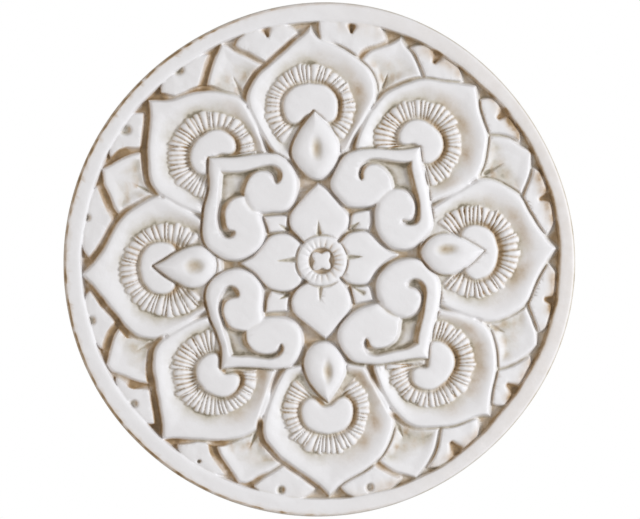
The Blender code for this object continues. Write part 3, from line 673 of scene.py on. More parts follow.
def cut(field, loop, floor, wall):
    """Sinks a pocket into what is there, with the wall turned to the left the widest."""
    places = field.near(loop.min(0), loop.max(0), 1.5)
    points = field.points[places]
    depth, facing = signed_distance(points, loop)
    heights = floor(points, depth)
    here = field.height[places]
    spread = wall * (1 + 0.8 * np.clip(-facing, 0, 1))
    share = ease((depth + wall * 0.35) / spread)
    field.height[places] = here + (np.minimum(heights, here) - here) * share
    field.stain[places] += (0.5 - field.stain[places]) * share
    # Brown painted at the foot of the pocket's wall turned to the left, as its shade, over the wash
    foot = np.clip(1 - np.maximum(depth, 0) / 4.0, 0, 1) ** 1.2 * ease((depth + 0.6) / 1.2)
    field.tan[places] = np.maximum(field.tan[places], 0.85 * np.clip(-facing, 0, 1) * foot)


def incise(field, start, end, width, depth):
    """Cuts a line that is broad and deep at its start and runs out at its end, kept shallow and
    painted dark: wash and painted shade.
    """
    a, b = np.array(start, float), np.array(end, float)
    length = np.hypot(*(b - a))
    along = (b - a) / length
    places = field.near(np.minimum(a, b), np.maximum(a, b), width)
    arm = field.points[places] - a
    t = arm @ along / length
    off = np.abs(arm @ np.array([-along[1], along[0]]))
    half = width / 2 * np.clip(1.1 - t, 0.16, 1)
    share = np.clip(1 - off / half, 0, 1) * ease((t + 0.12) / 0.16) * ease((1.04 - t) / 0.3)
    field.height[places] -= depth * np.clip(1.25 - t, 0, 1) * share ** 0.8
    field.ink_and_shade[places] = np.maximum(field.ink_and_shade[places], 0.95 * share ** 0.5)


def wander(points, scale, seed):
    """A smooth unevenness between -1 and 1, the same each run."""
    rng = np.random.default_rng(seed)
    total = np.zeros(len(points))
    for _ in range(7):
        wave = rng.normal(size=2) / scale
        total += np.sin(points @ wave * math.tau / 2.2 + rng.uniform(0, math.tau))
    return total / 3.2


def petal_forms(index):
    """The border that rolls down into the dish, deepest and most stained at the ring's foot."""
    direction, distance, outer = RINGS[index]

    def reach_of(points):
        across, out = local(points, direction, distance)
        return np.clip(np.hypot(across, out) - outer, 0, None)

    def top(points, depth):
        reach = reach_of(points)
        share = reach / (reach + np.maximum(depth, 0.01))
        return 4.3 + 2.9 * ease(share * 1.06) ** 0.85

    def stain(points, depth):
        above = points[:, 1] - polar(direction, distance)[1]
        patchy = 0.8 + 0.45 * wander(points, 14.0, 12) + 0.4 * ease(above / outer)
        return 0.46 * patchy * np.exp(-(reach_of(points) / 5.2) ** 1.6) * ease((depth - 1) / 5)

    def tan(points, depth):
        # Brown on the side of the dish that slopes down to the left, away from the light: painted
        # shade with some wash
        x, y = polar(direction, distance)
        aside = (points[:, 0] - x) / np.hypot(points[:, 0] - x, points[:, 1] - y)
        patchy = 0.8 + 0.5 * wander(points, 11.0, 22)
        reach = reach_of(points) - 3.5
        return 0.38 * patchy * np.clip(aside, 0, 1) * np.exp(-(reach / 4.5) ** 2) * ease(depth / 5)

    return top, stain, tan


def flute(field, index, count):
    """The ring of flutes round the button of a large petal."""
    direction, distance, outer = RINGS[index]
    outward = axes(direction)[1]
    middle = outward * distance
    places = field.near(middle - outer, middle + outer, 2.0)
    across, out = local(field.points[places], direction, distance)
    reach = np.hypot(across, out)
    turn = np.arctan2(across, out)
    rng = np.random.default_rng(20 + index)
    edges = np.linspace(-math.pi, math.pi, count + 1)
    edges[1:-1] += rng.normal(0, 0.026, count - 1)
    # The flutes lean a little to one side or the other, as they were cut by hand
    lean = rng.normal(0, 0.03, count + 1)
    number = np.clip(np.searchsorted(edges, turn) - 1, 0, count - 1)
    start = edges[number] + lean[number] * (reach - outer + 6) / 6
    stop = edges[number + 1] + lean[number + 1] * (reach - outer + 6) / 6
    share = np.clip((turn - start) / (stop - start), 0, 1)
    ends = outer + rng.normal(0, 0.55, count)[number]
    rises = rng.normal(0, 0.2, count)[number]
    ridge = np.clip(np.sin(math.pi * share), 0, 1) ** 0.7
    inner = outer - FLUTE_LENGTH
    t = np.clip((reach - inner) / (ends - inner), 0, 1)
    crown = 3.7 + 2.6 * ease(t / 0.5) - 0.9 * ease((t - 0.7) / 0.3) + rises
    deep = 1.5 - 0.4 * ease((t - 0.6) / 0.4)
    heights = crown - deep * (1 - ridge)
    round_end = ease((ends - 0.9 * (1 - ridge) - reach + 0.25) / 1.1)
    round_end = round_end * ease((math.radians(RING_END) - np.abs(turn)) / 0.05)
    here = field.height[places]
    foot = here - 0.25 * ease((ends + 2.2 - reach) / 2.0) * ease((reach - ends + 2.0) / 1.5)
    field.height[places] = foot + (heights - foot) * round_end
    field.stain[places] += (0.25 * (1 - ridge) - field.stain[places]) * round_end
    # Brown between the flutes, wash and painted shade, more to the upper left and in the rings on
    # the right
    x, y = (field.points[places] - middle).T
    shaded = np.clip((y - x) / (1.4 * reach), 0, 1)
    painted = (0.28 + 0.2 * max(0.0, outward[0]) + 0.25 * shaded) * (1 - ridge)
    field.tan[places] += (painted - field.tan[places]) * round_end
    inner_ends = (0.25 + 0.6 * (1 - ridge)) * ease(1.15 - t / 0.4) * round_end
    field.stain[places] = np.maximum(field.stain[places], inner_ends)


def rim_heart(field, cup, after):
    """A flat heart between a cup, a large petal and the rim, with the hole in its notch."""

    def top(points, depth):
        return 5.9 + 0.14 * wander(points, 9.0, 15) + 0.05 * wander(points, 4.0, 25)

    def tan(points, depth):
        # Brown along the edge under the rim on the right: painted shade of the rim, with some wash
        reach = np.hypot(*points.T)
        return 0.5 * np.clip(0.2 + points[:, 0] / reach, 0, 1) * ease((reach - 131.5) / 7) * (
            0.7 + 0.5 * wander(points, 6.0, 23))

    lay(field, rim_heart_outline(cup, after), top, groove=1.0, floor=1.8, wall=1.8, lip=1.0,
        lip_width=1.8, tan=tan)
    notch, low = NOTCHES[cup][after]
    across, out = local(field.points, notch, low)
    across, out = across / HOLES[cup][after], (out - 0.8) / HOLES[cup][after] + 0.8
    if 110 < notch < 290:
        # To the left the holes are round
        pit = np.exp(-((across / 2.0) ** 2 + ((out - 0.8) / 2.1) ** 2) ** 1.5)
        painted = 0.9
    else:
        # Elsewhere they are wedges that open to the rim, painted brown, partly as their shade
        pit = np.exp(-(across / (1.1 + 0.45 * np.clip(out + 1.5, 0, 4))) ** 2 / 1.2)
        pit = pit * ease((out + 3.4) / 2.0) * ease((6.5 - out) / 3.0)
        painted = 0.4
        field.tan = np.maximum(field.tan, 0.95 * pit)
    # The hole is sunk and painted dark, wash and painted shade
    field.height -= np.clip(field.height - 2.6, 0, None) * np.clip(1.25 * pit, 0, 1)
    field.ink_and_shade = np.maximum(field.ink_and_shade, painted * pit)


def cup(field, index):
    """A cupped petal with its incised line."""

    def top(points, depth):
        bowl = local(points, MEETINGS[index][0])[1]
        deepest = ease((132.0 - bowl) / 20.0)
        return 5.3 - (1.0 + 1.5 * deepest) * ease((depth - 0.3) / 7.5)

    def stain(points, depth):
        bowl = local(points, MEETINGS[index][0])[1]
        patchy = 0.8 + 0.5 * wander(points, 8.0, 17)
        return 0.5 * patchy * ease((depth - 0.5) / 4) * ease((131.0 - bowl) / 14)

    def tan(points, depth):
        bowl = local(points, MEETINGS[index][0])[1]
        patchy = wander(points, 5.0, 27) + 0.4 * wander(points, 2.5, 28)
        return 0.35 * np.clip(patchy, 0, 1) * ease((depth - 1) / 4) * ease((128.0 - bowl) / 12)

    lay(field, cup_outline(index), top, groove=2.0, floor=1.6, wall=2.6, lip=0.7, stain=stain,
        tan=tan, spread=1.2)
    direction, low, high = CUPS[index][3]
    incise(field, polar(direction, low), polar(direction, high), 3.8, 1.8)


def petal(field, index, flutes):
    """A large petal with its ring of flutes and its button."""
    top, stain, tan = petal_forms(index)

    def crease(points):
        # The gap to the next petal is deep near the tips and shallow by the scrolls
        across = local(points, PETALS[index][0][0])[0]
        start = np.where(across > 0, MEETINGS[index - 1][1], MEETINGS[index][1])
        reach = np.hypot(*points.T)
        return 1.8 + 4.1 * ease((start + 1 - reach) / 8) - 2.4 * ease((86 - reach) / 14)

    lay(field, petal_outline(index), top, groove=1.2, floor=crease, wall=3.0, lip=1.0,
        lip_width=2.0, stain=stain, tan=tan, spread=1.9)
    flute(field, index, flutes)
    lay(field, button_outline(index), 6.3, groove=2.1, floor=2.8, wall=1.8, lip=1.0, spread=0.5,
        near=0.4, far=1.0, line=0.8)


def fill_by_the_top_tip(field):
    """Fills the gap to the right of the top petal's tip, where the cast ran together."""
    x, y = field.points.T
    share = ease((6.5 - np.abs(x - 11.0)) / 2.5) * ease((y - 125.0) / 4.0)
    field.height += np.clip(5.7 - field.height, 0, None) * share
    field.tan *= 1 - share
    field.ink_and_shade *= 1 - share
    field.stain *= 1 - share


def leaf(field, index):
    """A small leaf between two hearts, with its incised line."""
    lay(field, outline(LEAVES[index], rounds=1), 5.6, groove=0.8, floor=3.2, wall=1.6, lip=0.7,
        spread=0.4, soft=1.2, line=0.35)
    incise(field, *LEAF_LINES[index], 3.6, 1.8)


def heart(field, index):
    """A heart beside the middle button, with its incised line."""
    lay(field, round_outline(HEARTS[index]), 7.2, groove=0.7, floor=3.2, wall=1.6, lip=1.1,
        lip_width=2.0, soft=2.2, **INNER_GROOVE)
    incise(field, *HEART_LINES[index], 3.8, 2.2)


def scroll(field, index):
    """A scrolled heart: its body, the crease between its lobes and its pocket."""

    def top(points, depth):
        return 8.2 + 0.5 * ease(depth / 3.6)

    def foot(points):
        return 4.4 - 1.8 * ease((np.hypot(*points.T) - 48) / 8)

    def pocket_floor(points, depth):
        return 3.0 + 1.4 * ease((depth - 1.4) / 4.0)

    lay(field, outline(SCROLLS[index], rounds=9), top, groove=0.7, floor=foot, wall=1.8, lip=1.2,
        lip_width=1.6, soft=1.3, **INNER_GROOVE)
    line, sunk = SEAMS[index]
    line = np.vstack([smooth_run(line, 1.0), line[-1:]])
    places = field.near(line.min(0), line.max(0), 4.0)
    off = distance_to_line(field.points[places], line)
    field.height[places] -= sunk * np.exp(-(off / 1.5) ** 1.4)
    cut(field, outline(POCKETS[index], rounds=2), pocket_floor, wall=2.4)


def teardrop(field, loop, dimple):
    """A drop over the foot of a large petal, with its dimple painted dark: wash and painted shade.
    """

    def top(points, depth):
        return 7.9 + 1.9 * np.sin(np.clip(depth / 8.0, 0, 1) * math.pi / 2)

    lay(field, round_outline(loop), top, groove=0.8, floor=2.4, wall=2.0, lip=0.9, soft=2.0,
        **INNER_GROOVE)
    x, y, wide, tall = dimple
    off = np.hypot((field.points[:, 0] - x) / wide, (field.points[:, 1] - y) / tall)
    hole = np.exp(-(off * 1.1) ** 2.6)
    field.height -= 1.9 * hole
    field.ink_and_shade = np.maximum(field.ink_and_shade, 0.72 * hole)
    field.tan = np.maximum(field.tan, 0.3 * np.exp(-(off * 1.6) ** 2))


def rosette(field):
    """The middle button: a fluted ring, a pit and a four-lobed star in it."""
    middle = np.array([0.0, 0.4])
    arm = field.points - middle
    reach = np.hypot(*arm.T)
    places = np.flatnonzero(reach < 20)
    reach = reach[places]
    turn = np.arctan2(arm[places, 1], arm[places, 0])
    here = field.height[places]
    groove = here + (np.minimum(here, 5.6) - here) * ease((16.2 - reach) / 1.0)
    ridge = np.abs(np.sin(turn * 10 + 0.6 * np.sin(turn * 3))) ** 0.6
    crown = 7.5 + 1.2 * np.sin(math.pi * np.clip((reach - 6.8) / 9.2, 0, 1))
    near_pit = ease((14.0 - reach) / 5)
    heights = groove + (crown - 0.9 * (1 - ridge) * (0.3 + 0.7 * near_pit) - groove) * ease(
        (15.2 - reach) / 1.2)
    pit = ease((8.4 - reach) / 1.4)
    heights = heights + (4.6 - heights) * pit
    lobe = 5.7 + 1.3 * np.cos(4 * (turn - math.radians(45)))
    star = ease((lobe - reach) / 1.0 + 0.5)
    heights = heights + (7.6 - 0.02 * reach ** 2 - heights) * star
    field.height[places] = heights
    share = ease((15.4 - reach) / 1.2)
    field.stain[places] *= 1 - share
    # The pit and the grooves by it are painted dark and brown, wash and painted shade, the brown
    # most on the right where the walls turn from the light
    field.ink_and_shade[places] = np.maximum(field.ink_and_shade[places] * (1 - share), 0.8 * pit * (1 - star))
    side = np.clip(0.45 + 0.6 * np.cos(turn), 0, 1)
    tan = np.maximum(0.6 * (1 - ridge) * near_pit * side, 0.4 * pit) * (1 - star)
    field.tan[places] += (tan - field.tan[places]) * share
    field.calm[places] = np.maximum(field.calm[places], 0.8 * star)


def carve(points, flutes):
    """The whole face as a field: the ground, then each kind of motif over those before it."""
    # The hand's unsteadiness, on every outline alike
    shake = 0.22 * np.column_stack([wander(points, 16.0, 3), wander(points, 16.0, 4)])
    field = Field(points + shake)
    reach = np.hypot(*field.points.T)
    # The ground is higher and cleaner where the large petals meet
    between = ease((110 - reach) / 6) * ease((reach - 74) / 14)
    field.height += 1.4 + 0.3 * wander(points, 9.0, 5) + 3.8 * between
    field.tan *= 1 - 0.6 * between
    for index in range(8):
        rim_heart(field, index, 0)
        rim_heart(field, index, 1)
    for index in range(8):
        cup(field, index)
    for index in range(8):
        petal(field, index, flutes)
    fill_by_the_top_tip(field)
    for index in range(4):
        leaf(field, index)
    for index in range(4):
        heart(field, index)
    for index in range(4):
        scroll(field, index)
    for loop, dimple in TEARDROPS:
        teardrop(field, loop, dimple)
    rosette(field)
    return field


# The mesh


def ring_disc(rings):
    """A disc of triangles in rings, six more points in each: unit points and triangles."""
    points = [np.zeros((1, 2))]
    starts = [0]
    total = 1
    for ring in range(1, rings + 1):
        count = 6 * ring
        angle = np.arange(count) * math.tau / count
        points.append(np.column_stack([np.cos(angle), np.sin(angle)]) * ring / rings)
        starts.append(total)
        total += count
    triangles = []
    for ring in range(rings):
        inner, outer = max(1, 6 * ring), 6 * (ring + 1)
        for sector in range(6):
            j = np.arange(ring + 1)
            low = starts[ring + 1] + (sector * (ring + 1) + j) % outer
            high = starts[ring + 1] + (sector * (ring + 1) + j + 1) % outer
            base = starts[ring] + (sector * ring + j) % inner
            triangles.append(np.column_stack([base, low, high]))
            if ring:
                j = np.arange(ring)
                first = starts[ring] + (sector * ring + j) % inner
                second = starts[ring] + (sector * ring + j + 1) % inner
                outside = starts[ring + 1] + (sector * (ring + 1) + j + 1) % outer
                triangles.append(np.column_stack([first, outside, second]))
    return np.vstack(points), np.vstack(triangles)


def outline_radius(angle, radius):
    """The disc's outline in drawn units, with the waves of the hand-shaped edge."""
    wave = sum(c * np.cos(k * angle) + s * np.sin(k * angle) for k, c, s in OUTLINE_WAVES)
    return radius + wave


def neighbour_mean(values, triangles, count, rounds):
    """Values evened out with those of the points next to them, some rounds over."""
    ends = np.concatenate([triangles, np.roll(triangles, 1, axis=1), np.roll(triangles, 2, axis=1)])
    first, second = ends[:, 0], ends[:, 1]
    weight = np.bincount(first, minlength=count)
    for _ in range(rounds):
        values = (values + np.bincount(first, values[second], count) / weight) / 2
    return values


def carved_face(sizes):
    """Points, triangles, wash and normals of the face, in metres, lying in X and Z."""
    unit = (DISC_RADIUS - sizes.rim_width) / DRAWN_FIELD
    flat, triangles = ring_disc(round(DISC_RADIUS / sizes.mesh_step))
    angle = np.arctan2(flat[:, 1], flat[:, 0])
    share = np.hypot(*flat.T)
    radius = share * DISC_RADIUS / unit
    edge = outline_radius(angle, DISC_RADIUS / unit) - EDGE_INSET
    radius = radius + (edge - DISC_RADIUS / unit) * share ** 6
    drawn = np.column_stack([np.cos(angle), np.sin(angle)]) * radius[:, None]
    # The mandala sits off the disc's middle, and its offset runs out toward the rim
    mandala = drawn.copy()
    for _ in range(2):
        pull = 1 - np.clip(np.hypot(*mandala.T) / DRAWN_FIELD, 0, 1) ** 4
        mandala = drawn - np.array(MANDALA_OFFSET) * pull[:, None]
    field = carve(mandala, sizes.flutes)
    height = rim(field.height, radius, edge, angle, drawn)
    height = height + 0.09 * wander(drawn, 7.0, 9) + 0.05 * wander(drawn, 3.0, 10)
    height = np.minimum(height, TALLEST) * sizes.relief
    right = np.clip(np.cos(angle), 0, 1) ** 0.8
    inner = inner_edge(angle)
    on_rim = ease((radius - inner + 1.2 - 2.2 * right) / 1.5)
    hollow, brown_wash_and_shade, normals = wash_of(drawn, height, triangles, field.stain * (1 - on_rim))
    # The wash is taken off the rim's inner edge on the left: painted light where the edge faces the
    # light
    lit_edge = ease((radius - inner + 2.6) / 1.0) * ease((edge - 2.5 - radius) / 2.0)
    lit_edge = lit_edge * np.clip(-1.4 * np.cos(angle), 0, 1)
    kept = 1 - 0.8 * np.maximum(field.calm * (1 - on_rim), lit_edge)
    hollow = np.maximum(hollow * kept, field.ink_and_shade * (1 - on_rim))
    hollow = np.maximum(hollow, (0.4 + 0.3 * right) * ease((radius - edge + 1.0) / 0.6))
    # Brown with a ragged edge under the rim on the right: painted shade of the rim's wall turned
    # from the light, over the wash
    ragged = 1.8 * right + 0.8 * wander(drawn, 5.0, 19)
    shade_under_rim = 0.8 * right * ease((radius - inner + ragged) / 2.0)
    shade_under_rim = shade_under_rim * (1 - 0.6 * ease((radius - inner + 0.3) / 1.8))
    brown_wash_and_shade = np.maximum(brown_wash_and_shade * kept, np.maximum(field.tan, shade_under_rim) * (1 - on_rim))
    # The brown line on the rim's outer edge, all but on the right: partly the glaze breaking brown,
    # partly painted shade where the edge turns from the light
    edge_brown_and_shade = 0.2 * ease((radius - edge + 3.6) / 2.4) + 0.8 * ease((radius - edge + 2.3) / 0.8)
    edge_brown_and_shade = edge_brown_and_shade * (1 - 0.5 * ease((radius - edge + 1.0) / 0.7)) * np.clip(
        0.4 - np.cos(angle), 0, 1)
    brown_wash_and_shade = np.maximum(brown_wash_and_shade, edge_brown_and_shade * (0.6 + 0.4 * wander(drawn, 2.0, 11)))
    brown_wash_and_shade = np.maximum(brown_wash_and_shade, 0.13 * right * on_rim)
    points = np.column_stack([drawn[:, 0] * unit, -(sizes.slab + height * MILLIMETRE),
                              drawn[:, 1] * unit])
    return points, triangles, {"hollow": hollow, "brown_wash_and_shade": brown_wash_and_shade}, normals


def inner_edge(angle):
    """The rim's inner edge in drawn units."""
    steps = np.arange(len(RIM_EDGE)) * 360 / len(RIM_EDGE)
    wave = 0.2 * np.sin(angle * 11) + 0.15 * np.sin(angle * 29 + 1)
    return DRAWN_FIELD + wave + np.interp(np.degrees(angle), steps, RIM_EDGE, period=360)


def rim(height, radius, edge, angle, drawn):
    """The flat rim laid over the ends of the carving, softly rounded at both edges."""
    inner = inner_edge(angle)
    top = 6.9 + 0.1 * wander(drawn, 14.0, 8)
    outside = np.clip(1 - (edge - radius) / 2.2, 0, 1)
    top = top - 2.2 * (1 - np.sqrt(1 - 0.98 * outside ** 2))
    right = np.clip(np.cos(angle), 0, 1) ** 0.8
    top = top - 1.0 * np.exp(-(np.clip(radius - inner, 0, None) / 1.4) ** 1.2)
    groove = ease((radius - inner + 0.9 + 1.2 * right) / 1.4)
    # To the right of the top the hearts run into the rim
    merged = ease((9.0 - np.abs((np.degrees(angle) - 80.5 + 180) % 360 - 180)) / 2.5)
    low = height + (np.minimum(height, 5.0 - 2.0 * right) - height) * groove * (1 - merged)
    return low + (top - low) * ease((radius - inner + 0.5) / 1.0)


def wash_of(drawn, height, triangles, stain):
    """How much wash stays at each point: in the hollows, less on the slopes turned to the right as
    painted light, and on the sides turned to the left as brown painted shade.
    """
    count = len(height)
    close = neighbour_mean(height, triangles, count, 4)
    wide = neighbour_mean(close, triangles, count, 70)
    hollow = np.clip((close - height) / 0.35, 0, 1)
    sunk = np.clip((wide - height) / 2.0, 0, 1)
    a, b, c = (np.column_stack([drawn[corner], height[corner]]) for corner in triangles.T)
    normal = np.cross(b - a, c - a)
    slope = [np.bincount(triangles.ravel(), np.repeat(normal[:, k], 3), count) for k in range(3)]
    length = np.sqrt(sum(part * part for part in slope))
    left = np.clip(-slope[0] / length, 0, 1)
    right = np.clip(slope[0] / length, 0, 1)
    # Less wash on the slopes turned to the right: painted light where the key light falls
    hollow = np.clip(stain + 0.5 * sunk + 0.3 * hollow, 0, 1) * (1 - ease(right * 1.4))
    # Brown on the slopes turned to the left: painted shade, deepest in sunk places
    brown_wash_and_shade = ease((left - 0.2) / 0.6) * (0.12 + 0.5 * ease(sunk * 2))
    normals = np.column_stack([slope[0], -slope[2], slope[1]]) / length[:, None]
    hollow, brown_wash_and_shade = [neighbour_mean(part, triangles, count, 1) for part in (hollow, brown_wash_and_shade)]
    return hollow, brown_wash_and_shade, normals


def shade_and_clean(piece, slab):
    """Gives the face the normals its fine shape had, and the back flat ones and hardly any wash."""
    mesh = piece.data
    fine = np.zeros(len(mesh.vertices) * 3)
    mesh.attributes["fine_normal"].data.foreach_get("vector", fine)
    places = np.zeros(len(mesh.vertices) * 3)
    mesh.vertices.foreach_get("co", places)
    behind = places.reshape(-1, 3)[:, 1] > -slab * BACK_SHARE
    corners = np.zeros(len(mesh.loops), int)
    mesh.loops.foreach_get("vertex_index", corners)
    sizes = np.zeros(len(mesh.polygons), int)
    mesh.polygons.foreach_get("loop_total", sizes)
    owner = np.repeat(np.arange(len(sizes)), sizes)
    plain = np.bincount(owner, behind[corners], len(sizes)) > 0
    normals = fine.reshape(-1, 3)[corners]
    flat = np.zeros(len(sizes) * 3)
    mesh.polygon_normals.foreach_get("vector", flat)
    normals[plain[owner]] = flat.reshape(-1, 3)[owner][plain[owner]]
    mesh.attributes.remove(mesh.attributes["fine_normal"])
    mesh.normals_split_custom_set(normals.tolist())
    for name in BACK_WASH:
        amounts = np.zeros(len(behind), np.float32)
        mesh.attributes[name].data.foreach_get("value", amounts)
        amounts[behind] = BACK_WASH[name]
        mesh.attributes[name].data.foreach_set("value", amounts)


def select_only(piece):
    """Selects one piece alone and makes it the active one."""
    bpy.ops.object.select_all(action='DESELECT')
    piece.select_set(True)
    bpy.context.view_layer.objects.active = piece


def thin(piece, share):
    """Drops faces where the surface is flat."""
    select_only(piece)
    bpy.ops.object.modifier_add(type='DECIMATE')
    piece.modifiers[-1].ratio = share
    bpy.ops.object.modifier_apply(modifier=piece.modifiers[-1].name)


def select_open_edges():
    """Selects the edges round the mesh's openings."""
    bpy.ops.mesh.select_all(action='DESELECT')
    bpy.ops.mesh.select_non_manifold(use_wire=False, use_multi_face=False,
                                     use_non_contiguous=False, use_verts=False)


def close_back(piece, sizes):
    """Pulls the edge back to the wall plane, chamfers it, and closes the back round a recess."""
    select_only(piece)
    chamfer = sizes.back_chamfer
    bpy.ops.object.mode_set(mode='EDIT')
    bpy.ops.mesh.select_mode(type='EDGE')
    select_open_edges()
    bpy.ops.mesh.extrude_edges_move()
    bpy.ops.transform.resize(value=(1, 0, 1), center_override=(0, -chamfer, 0))
    bpy.ops.mesh.extrude_edges_move()
    bpy.ops.transform.resize(value=(1, 0, 1), center_override=(0, 0, 0))
    inset = 1 - chamfer / piece.dimensions.x * 2
    bpy.ops.transform.resize(value=(inset, 1, inset), center_override=(0, 0, 0))
    middle = sizes.recess_top - sizes.recess_height / 2
    bpy.ops.mesh.primitive_plane_add(size=1, rotation=(math.radians(90), 0, 0),
                                     location=(0, 0, middle))
    bpy.ops.transform.resize(value=(sizes.recess_width, 1, sizes.recess_height),
                             center_override=(0, 0, middle))
    bpy.ops.mesh.select_mode(type='FACE')
    bpy.ops.mesh.extrude_region_move()
    bpy.ops.transform.translate(value=(0, -sizes.recess_depth, 0))
    bottom = sizes.recess_top - sizes.recess_height
    taller = 1 + sizes.recess_catch / sizes.recess_height
    bpy.ops.transform.resize(value=(1, 1, taller), center_override=(0, 0, bottom))
    bpy.ops.mesh.select_mode(type='EDGE')
    select_open_edges()
    bpy.ops.mesh.fill()
    bpy.ops.mesh.select_all(action='SELECT')
    bpy.ops.mesh.normals_make_consistent(inside=False)
    bpy.ops.object.mode_set(mode='OBJECT')
    bpy.ops.object.shade_smooth_by_angle(angle=math.radians(75))


def ceramic_material(finish):
    """White glaze with a brown wash in the low places and brown painted shade on the sides turned
    from the light, over fine pits.
    """
    material = bpy.data.materials.new("antiqued white ceramic")
    material.use_nodes = True
    nodes, links = material.node_tree.nodes, material.node_tree.links
    shader = nodes["Principled BSDF"]
    shader.inputs["Roughness"].default_value = 0.55
    place = nodes.new("ShaderNodeTexCoord")

    def amount_of(name):
        node = nodes.new("ShaderNodeAttribute")
        node.attribute_name = name
        return node.outputs["Fac"]

    def noise(scale, detail=4.0):
        node = nodes.new("ShaderNodeTexNoise")
        node.inputs["Scale"].default_value = scale
        node.inputs["Detail"].default_value = detail
        links.new(place.outputs["Object"], node.inputs["Vector"])
        return node.outputs["Fac"]

    def math_node(operation, a, b):
        node = nodes.new("ShaderNodeMath")
        node.operation = operation
        for socket, value in zip(node.inputs, (a, b)):
            if isinstance(value, float):
                socket.default_value = value
            else:
                links.new(value, socket)
        return node.outputs[0]

    def ramp(factor, stops):
        node = nodes.new("ShaderNodeValToRGB")
        elements = node.color_ramp.elements
        while len(elements) < len(stops):
            elements.new(0.5)
        for element, (position, colour) in zip(elements, stops):
            element.position = position
            element.color = colour
        links.new(factor, node.inputs["Fac"])
        return node.outputs["Color"]

    def uneven(amount, flat):
        """The amount made patchy, with a little of the patches on clean parts too."""
        patches = math_node('ADD', math_node('MULTIPLY', blots, 1.6),
                            math_node('MULTIPLY', specks, 0.5))
        more = math_node('ADD', amount, flat)
        return math_node('ADD', amount, math_node('MULTIPLY', patches, more))

    blots = math_node('SUBTRACT', noise(110.0), 0.5)
    specks = math_node('SUBTRACT', noise(480.0, 6.0), 0.5)
    hollow = uneven(amount_of("hollow"), 0.10)
    brown_wash_and_shade = uneven(amount_of("brown_wash_and_shade"), 0.0)
    # The thin wash also carries painted shade in cuts and holes and painted light on the lit
    # slopes; the brown over it is wash and painted shade
    thin_wash_light_and_shade = ramp(hollow, [(0.06, finish.white), (0.72, finish.taupe), (1.0, finish.umber)])
    mix = nodes.new("ShaderNodeMix")
    mix.data_type = 'RGBA'
    links.new(math_node('MULTIPLY', brown_wash_and_shade, 1.6), mix.inputs["Factor"])
    mix.clamp_factor = True
    links.new(thin_wash_light_and_shade, mix.inputs["A"])
    thick_wash_and_shade = ramp(brown_wash_and_shade, [(0.1, finish.tan), (0.5, finish.brown), (0.95, finish.dark_brown)])
    links.new(thick_wash_and_shade, mix.inputs["B"])
    links.new(mix.outputs["Result"], shader.inputs["Base Color"])
    bump = nodes.new("ShaderNodeBump")
    bump.inputs["Distance"].default_value = 0.0002
    bump.inputs["Strength"].default_value = 0.35
    links.new(noise(700.0, 5.0), bump.inputs["Height"])
    links.new(bump.outputs["Normal"], shader.inputs["Normal"])
    return material


class PLAQUE_OT_add_plaque(bpy.types.Operator):
    """Adds the plaque with its carved face, side, back and hanging recess"""

    bl_idname = "plaque.add_plaque"
    bl_label = "Add plaque"

    def execute(self, context):
        sizes = context.scene.plaque_sizes
        finish = context.scene.plaque_finish
        points, triangles, wash, normals = carved_face(sizes)
        mesh = bpy.data.meshes.new("carved_plaque")
        mesh.from_pydata(points.tolist(), [], triangles.tolist())
        for name, amounts in wash.items():
            layer = mesh.attributes.new(name, 'FLOAT', 'POINT')
            layer.data.foreach_set("value", amounts.astype(np.float32))
        layer = mesh.attributes.new("fine_normal", 'FLOAT_VECTOR', 'POINT')
        layer.data.foreach_set("vector", normals.ravel().astype(np.float32))
        piece = bpy.data.objects.new("carved_plaque", mesh)
        context.scene.collection.objects.link(piece)
        mesh.shade_smooth()
        thin(piece, sizes.faces_kept)
        close_back(piece, sizes)
        shade_and_clean(piece, sizes.slab)
        piece.data.materials.append(ceramic_material(finish))
        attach(piece, "root")
        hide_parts(NODE)
        return {'FINISHED'}


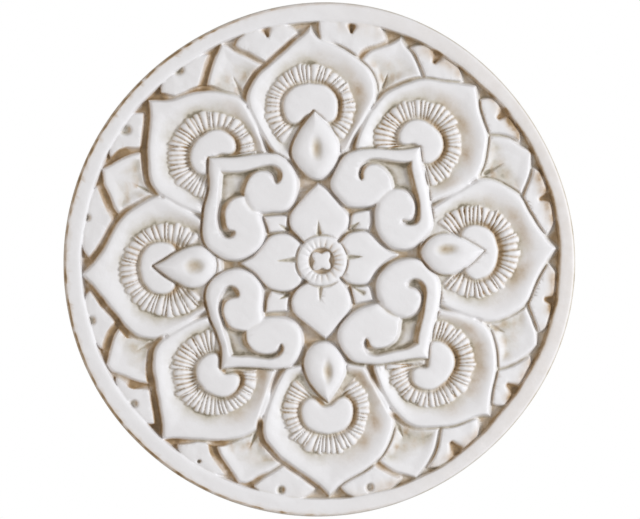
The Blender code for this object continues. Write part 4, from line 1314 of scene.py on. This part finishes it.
class PLAQUE_OT_add_stage(bpy.types.Operator):
    """Adds the floor, the lights, the world and the camera"""

    bl_idname = "plaque.add_stage"
    bl_label = "Add stage"

    def execute(self, context):
        finish = context.scene.plaque_finish
        bpy.ops.object.select_all(action='DESELECT')
        bpy.ops.mesh.primitive_circle_add(vertices=96, radius=0.6, fill_type='NGON',
                                          location=(0, 0, -0.26))
        floor = context.object
        floor.name = "floor"
        pale = bpy.data.materials.new("pale floor")
        pale.use_nodes = True
        pale.node_tree.nodes["Principled BSDF"].inputs["Base Color"].default_value = finish.floor
        pale.node_tree.nodes["Principled BSDF"].inputs["Roughness"].default_value = 0.8
        floor.data.materials.append(pale)
        for light in LIGHTS:
            self.light(context, *light)
        self.world(context)
        self.camera(context)
        return {'FINISHED'}

    def light(self, context, name, place, size, power, colour):
        """A round soft light that points at the middle of the plaque."""
        lamp = bpy.data.lights.new(name, 'AREA')
        lamp.shape = 'DISK'
        lamp.size = size
        lamp.energy = power
        lamp.color = colour
        holder = bpy.data.objects.new(name, lamp)
        holder.location = place
        toward = -holder.location
        holder.rotation_euler = toward.to_track_quat('-Z', 'Y').to_euler()
        context.scene.collection.objects.link(holder)

    def world(self, context):
        """White to the camera and a softer white as light."""
        world = bpy.data.worlds.new("studio white")
        context.scene.world = world
        world.use_nodes = True
        nodes, links = world.node_tree.nodes, world.node_tree.links
        background = nodes["Background"]
        path = nodes.new("ShaderNodeLightPath")
        strength = nodes.new("ShaderNodeMapRange")
        strength.inputs["To Min"].default_value = WORLD_LIGHT
        strength.inputs["To Max"].default_value = WORLD_SEEN
        links.new(path.outputs["Is Camera Ray"], strength.inputs["Value"])
        links.new(strength.outputs["Result"], background.inputs["Strength"])
        background.inputs["Color"].default_value = (1.0, 1.0, 1.0, 1.0)

    def camera(self, context):
        """A long lens straight in front, rolled as the plaque hangs in the photograph."""
        lens = bpy.data.cameras.new("camera")
        lens.lens = 200.0
        lens.sensor_width = 36.0
        holder = bpy.data.objects.new("camera", lens)
        seen = PHOTO_WIDTH / RADIUS_IN_PHOTO * DISC_RADIUS
        distance = seen * lens.lens / lens.sensor_width
        holder.location = (0.0, FRONT - distance, 0.0)
        holder.rotation_euler = (math.radians(90), math.radians(ROLL_IN_PHOTO), 0.0)
        across, down = MIDDLE_IN_PHOTO
        lens.shift_x = (PHOTO_WIDTH / 2 - across) / PHOTO_WIDTH
        lens.shift_y = (down - PHOTO_HEIGHT / 2) / PHOTO_WIDTH
        context.scene.collection.objects.link(holder)
        context.scene.camera = holder


class PLAQUE_PT_panel(bpy.types.Panel):
    """The plaque's sizes, colours and pieces"""

    bl_label = "Plaque"
    bl_idname = "PLAQUE_PT_panel"
    bl_space_type = 'VIEW_3D'
    bl_region_type = 'UI'
    bl_category = "Plaque"

    def draw(self, context):
        layout = self.layout
        for group in (context.scene.plaque_sizes, context.scene.plaque_finish):
            for name in group.bl_rna.properties.keys():
                if name not in {"rna_type", "name"}:
                    layout.prop(group, name)
        layout.operator("plaque.add_plaque")
        layout.operator("plaque.add_stage")


CLASSES = (PlaqueSizes, PlaqueFinish, PLAQUE_OT_add_plaque, PLAQUE_OT_add_stage, PLAQUE_PT_panel)


def register():
    for item in CLASSES:
        bpy.utils.register_class(item)
    bpy.types.Scene.plaque_sizes = bpy.props.PointerProperty(type=PlaqueSizes)
    bpy.types.Scene.plaque_finish = bpy.props.PointerProperty(type=PlaqueFinish)


def unregister():
    del bpy.types.Scene.plaque_finish
    del bpy.types.Scene.plaque_sizes
    for item in reversed(CLASSES):
        bpy.utils.unregister_class(item)


def main():
    register()
    bpy.ops.plaque.add_plaque()
    bpy.ops.plaque.add_stage()
    bpy.context.scene.view_settings.view_transform = 'Standard'


if __name__ == "__main__":
    main()
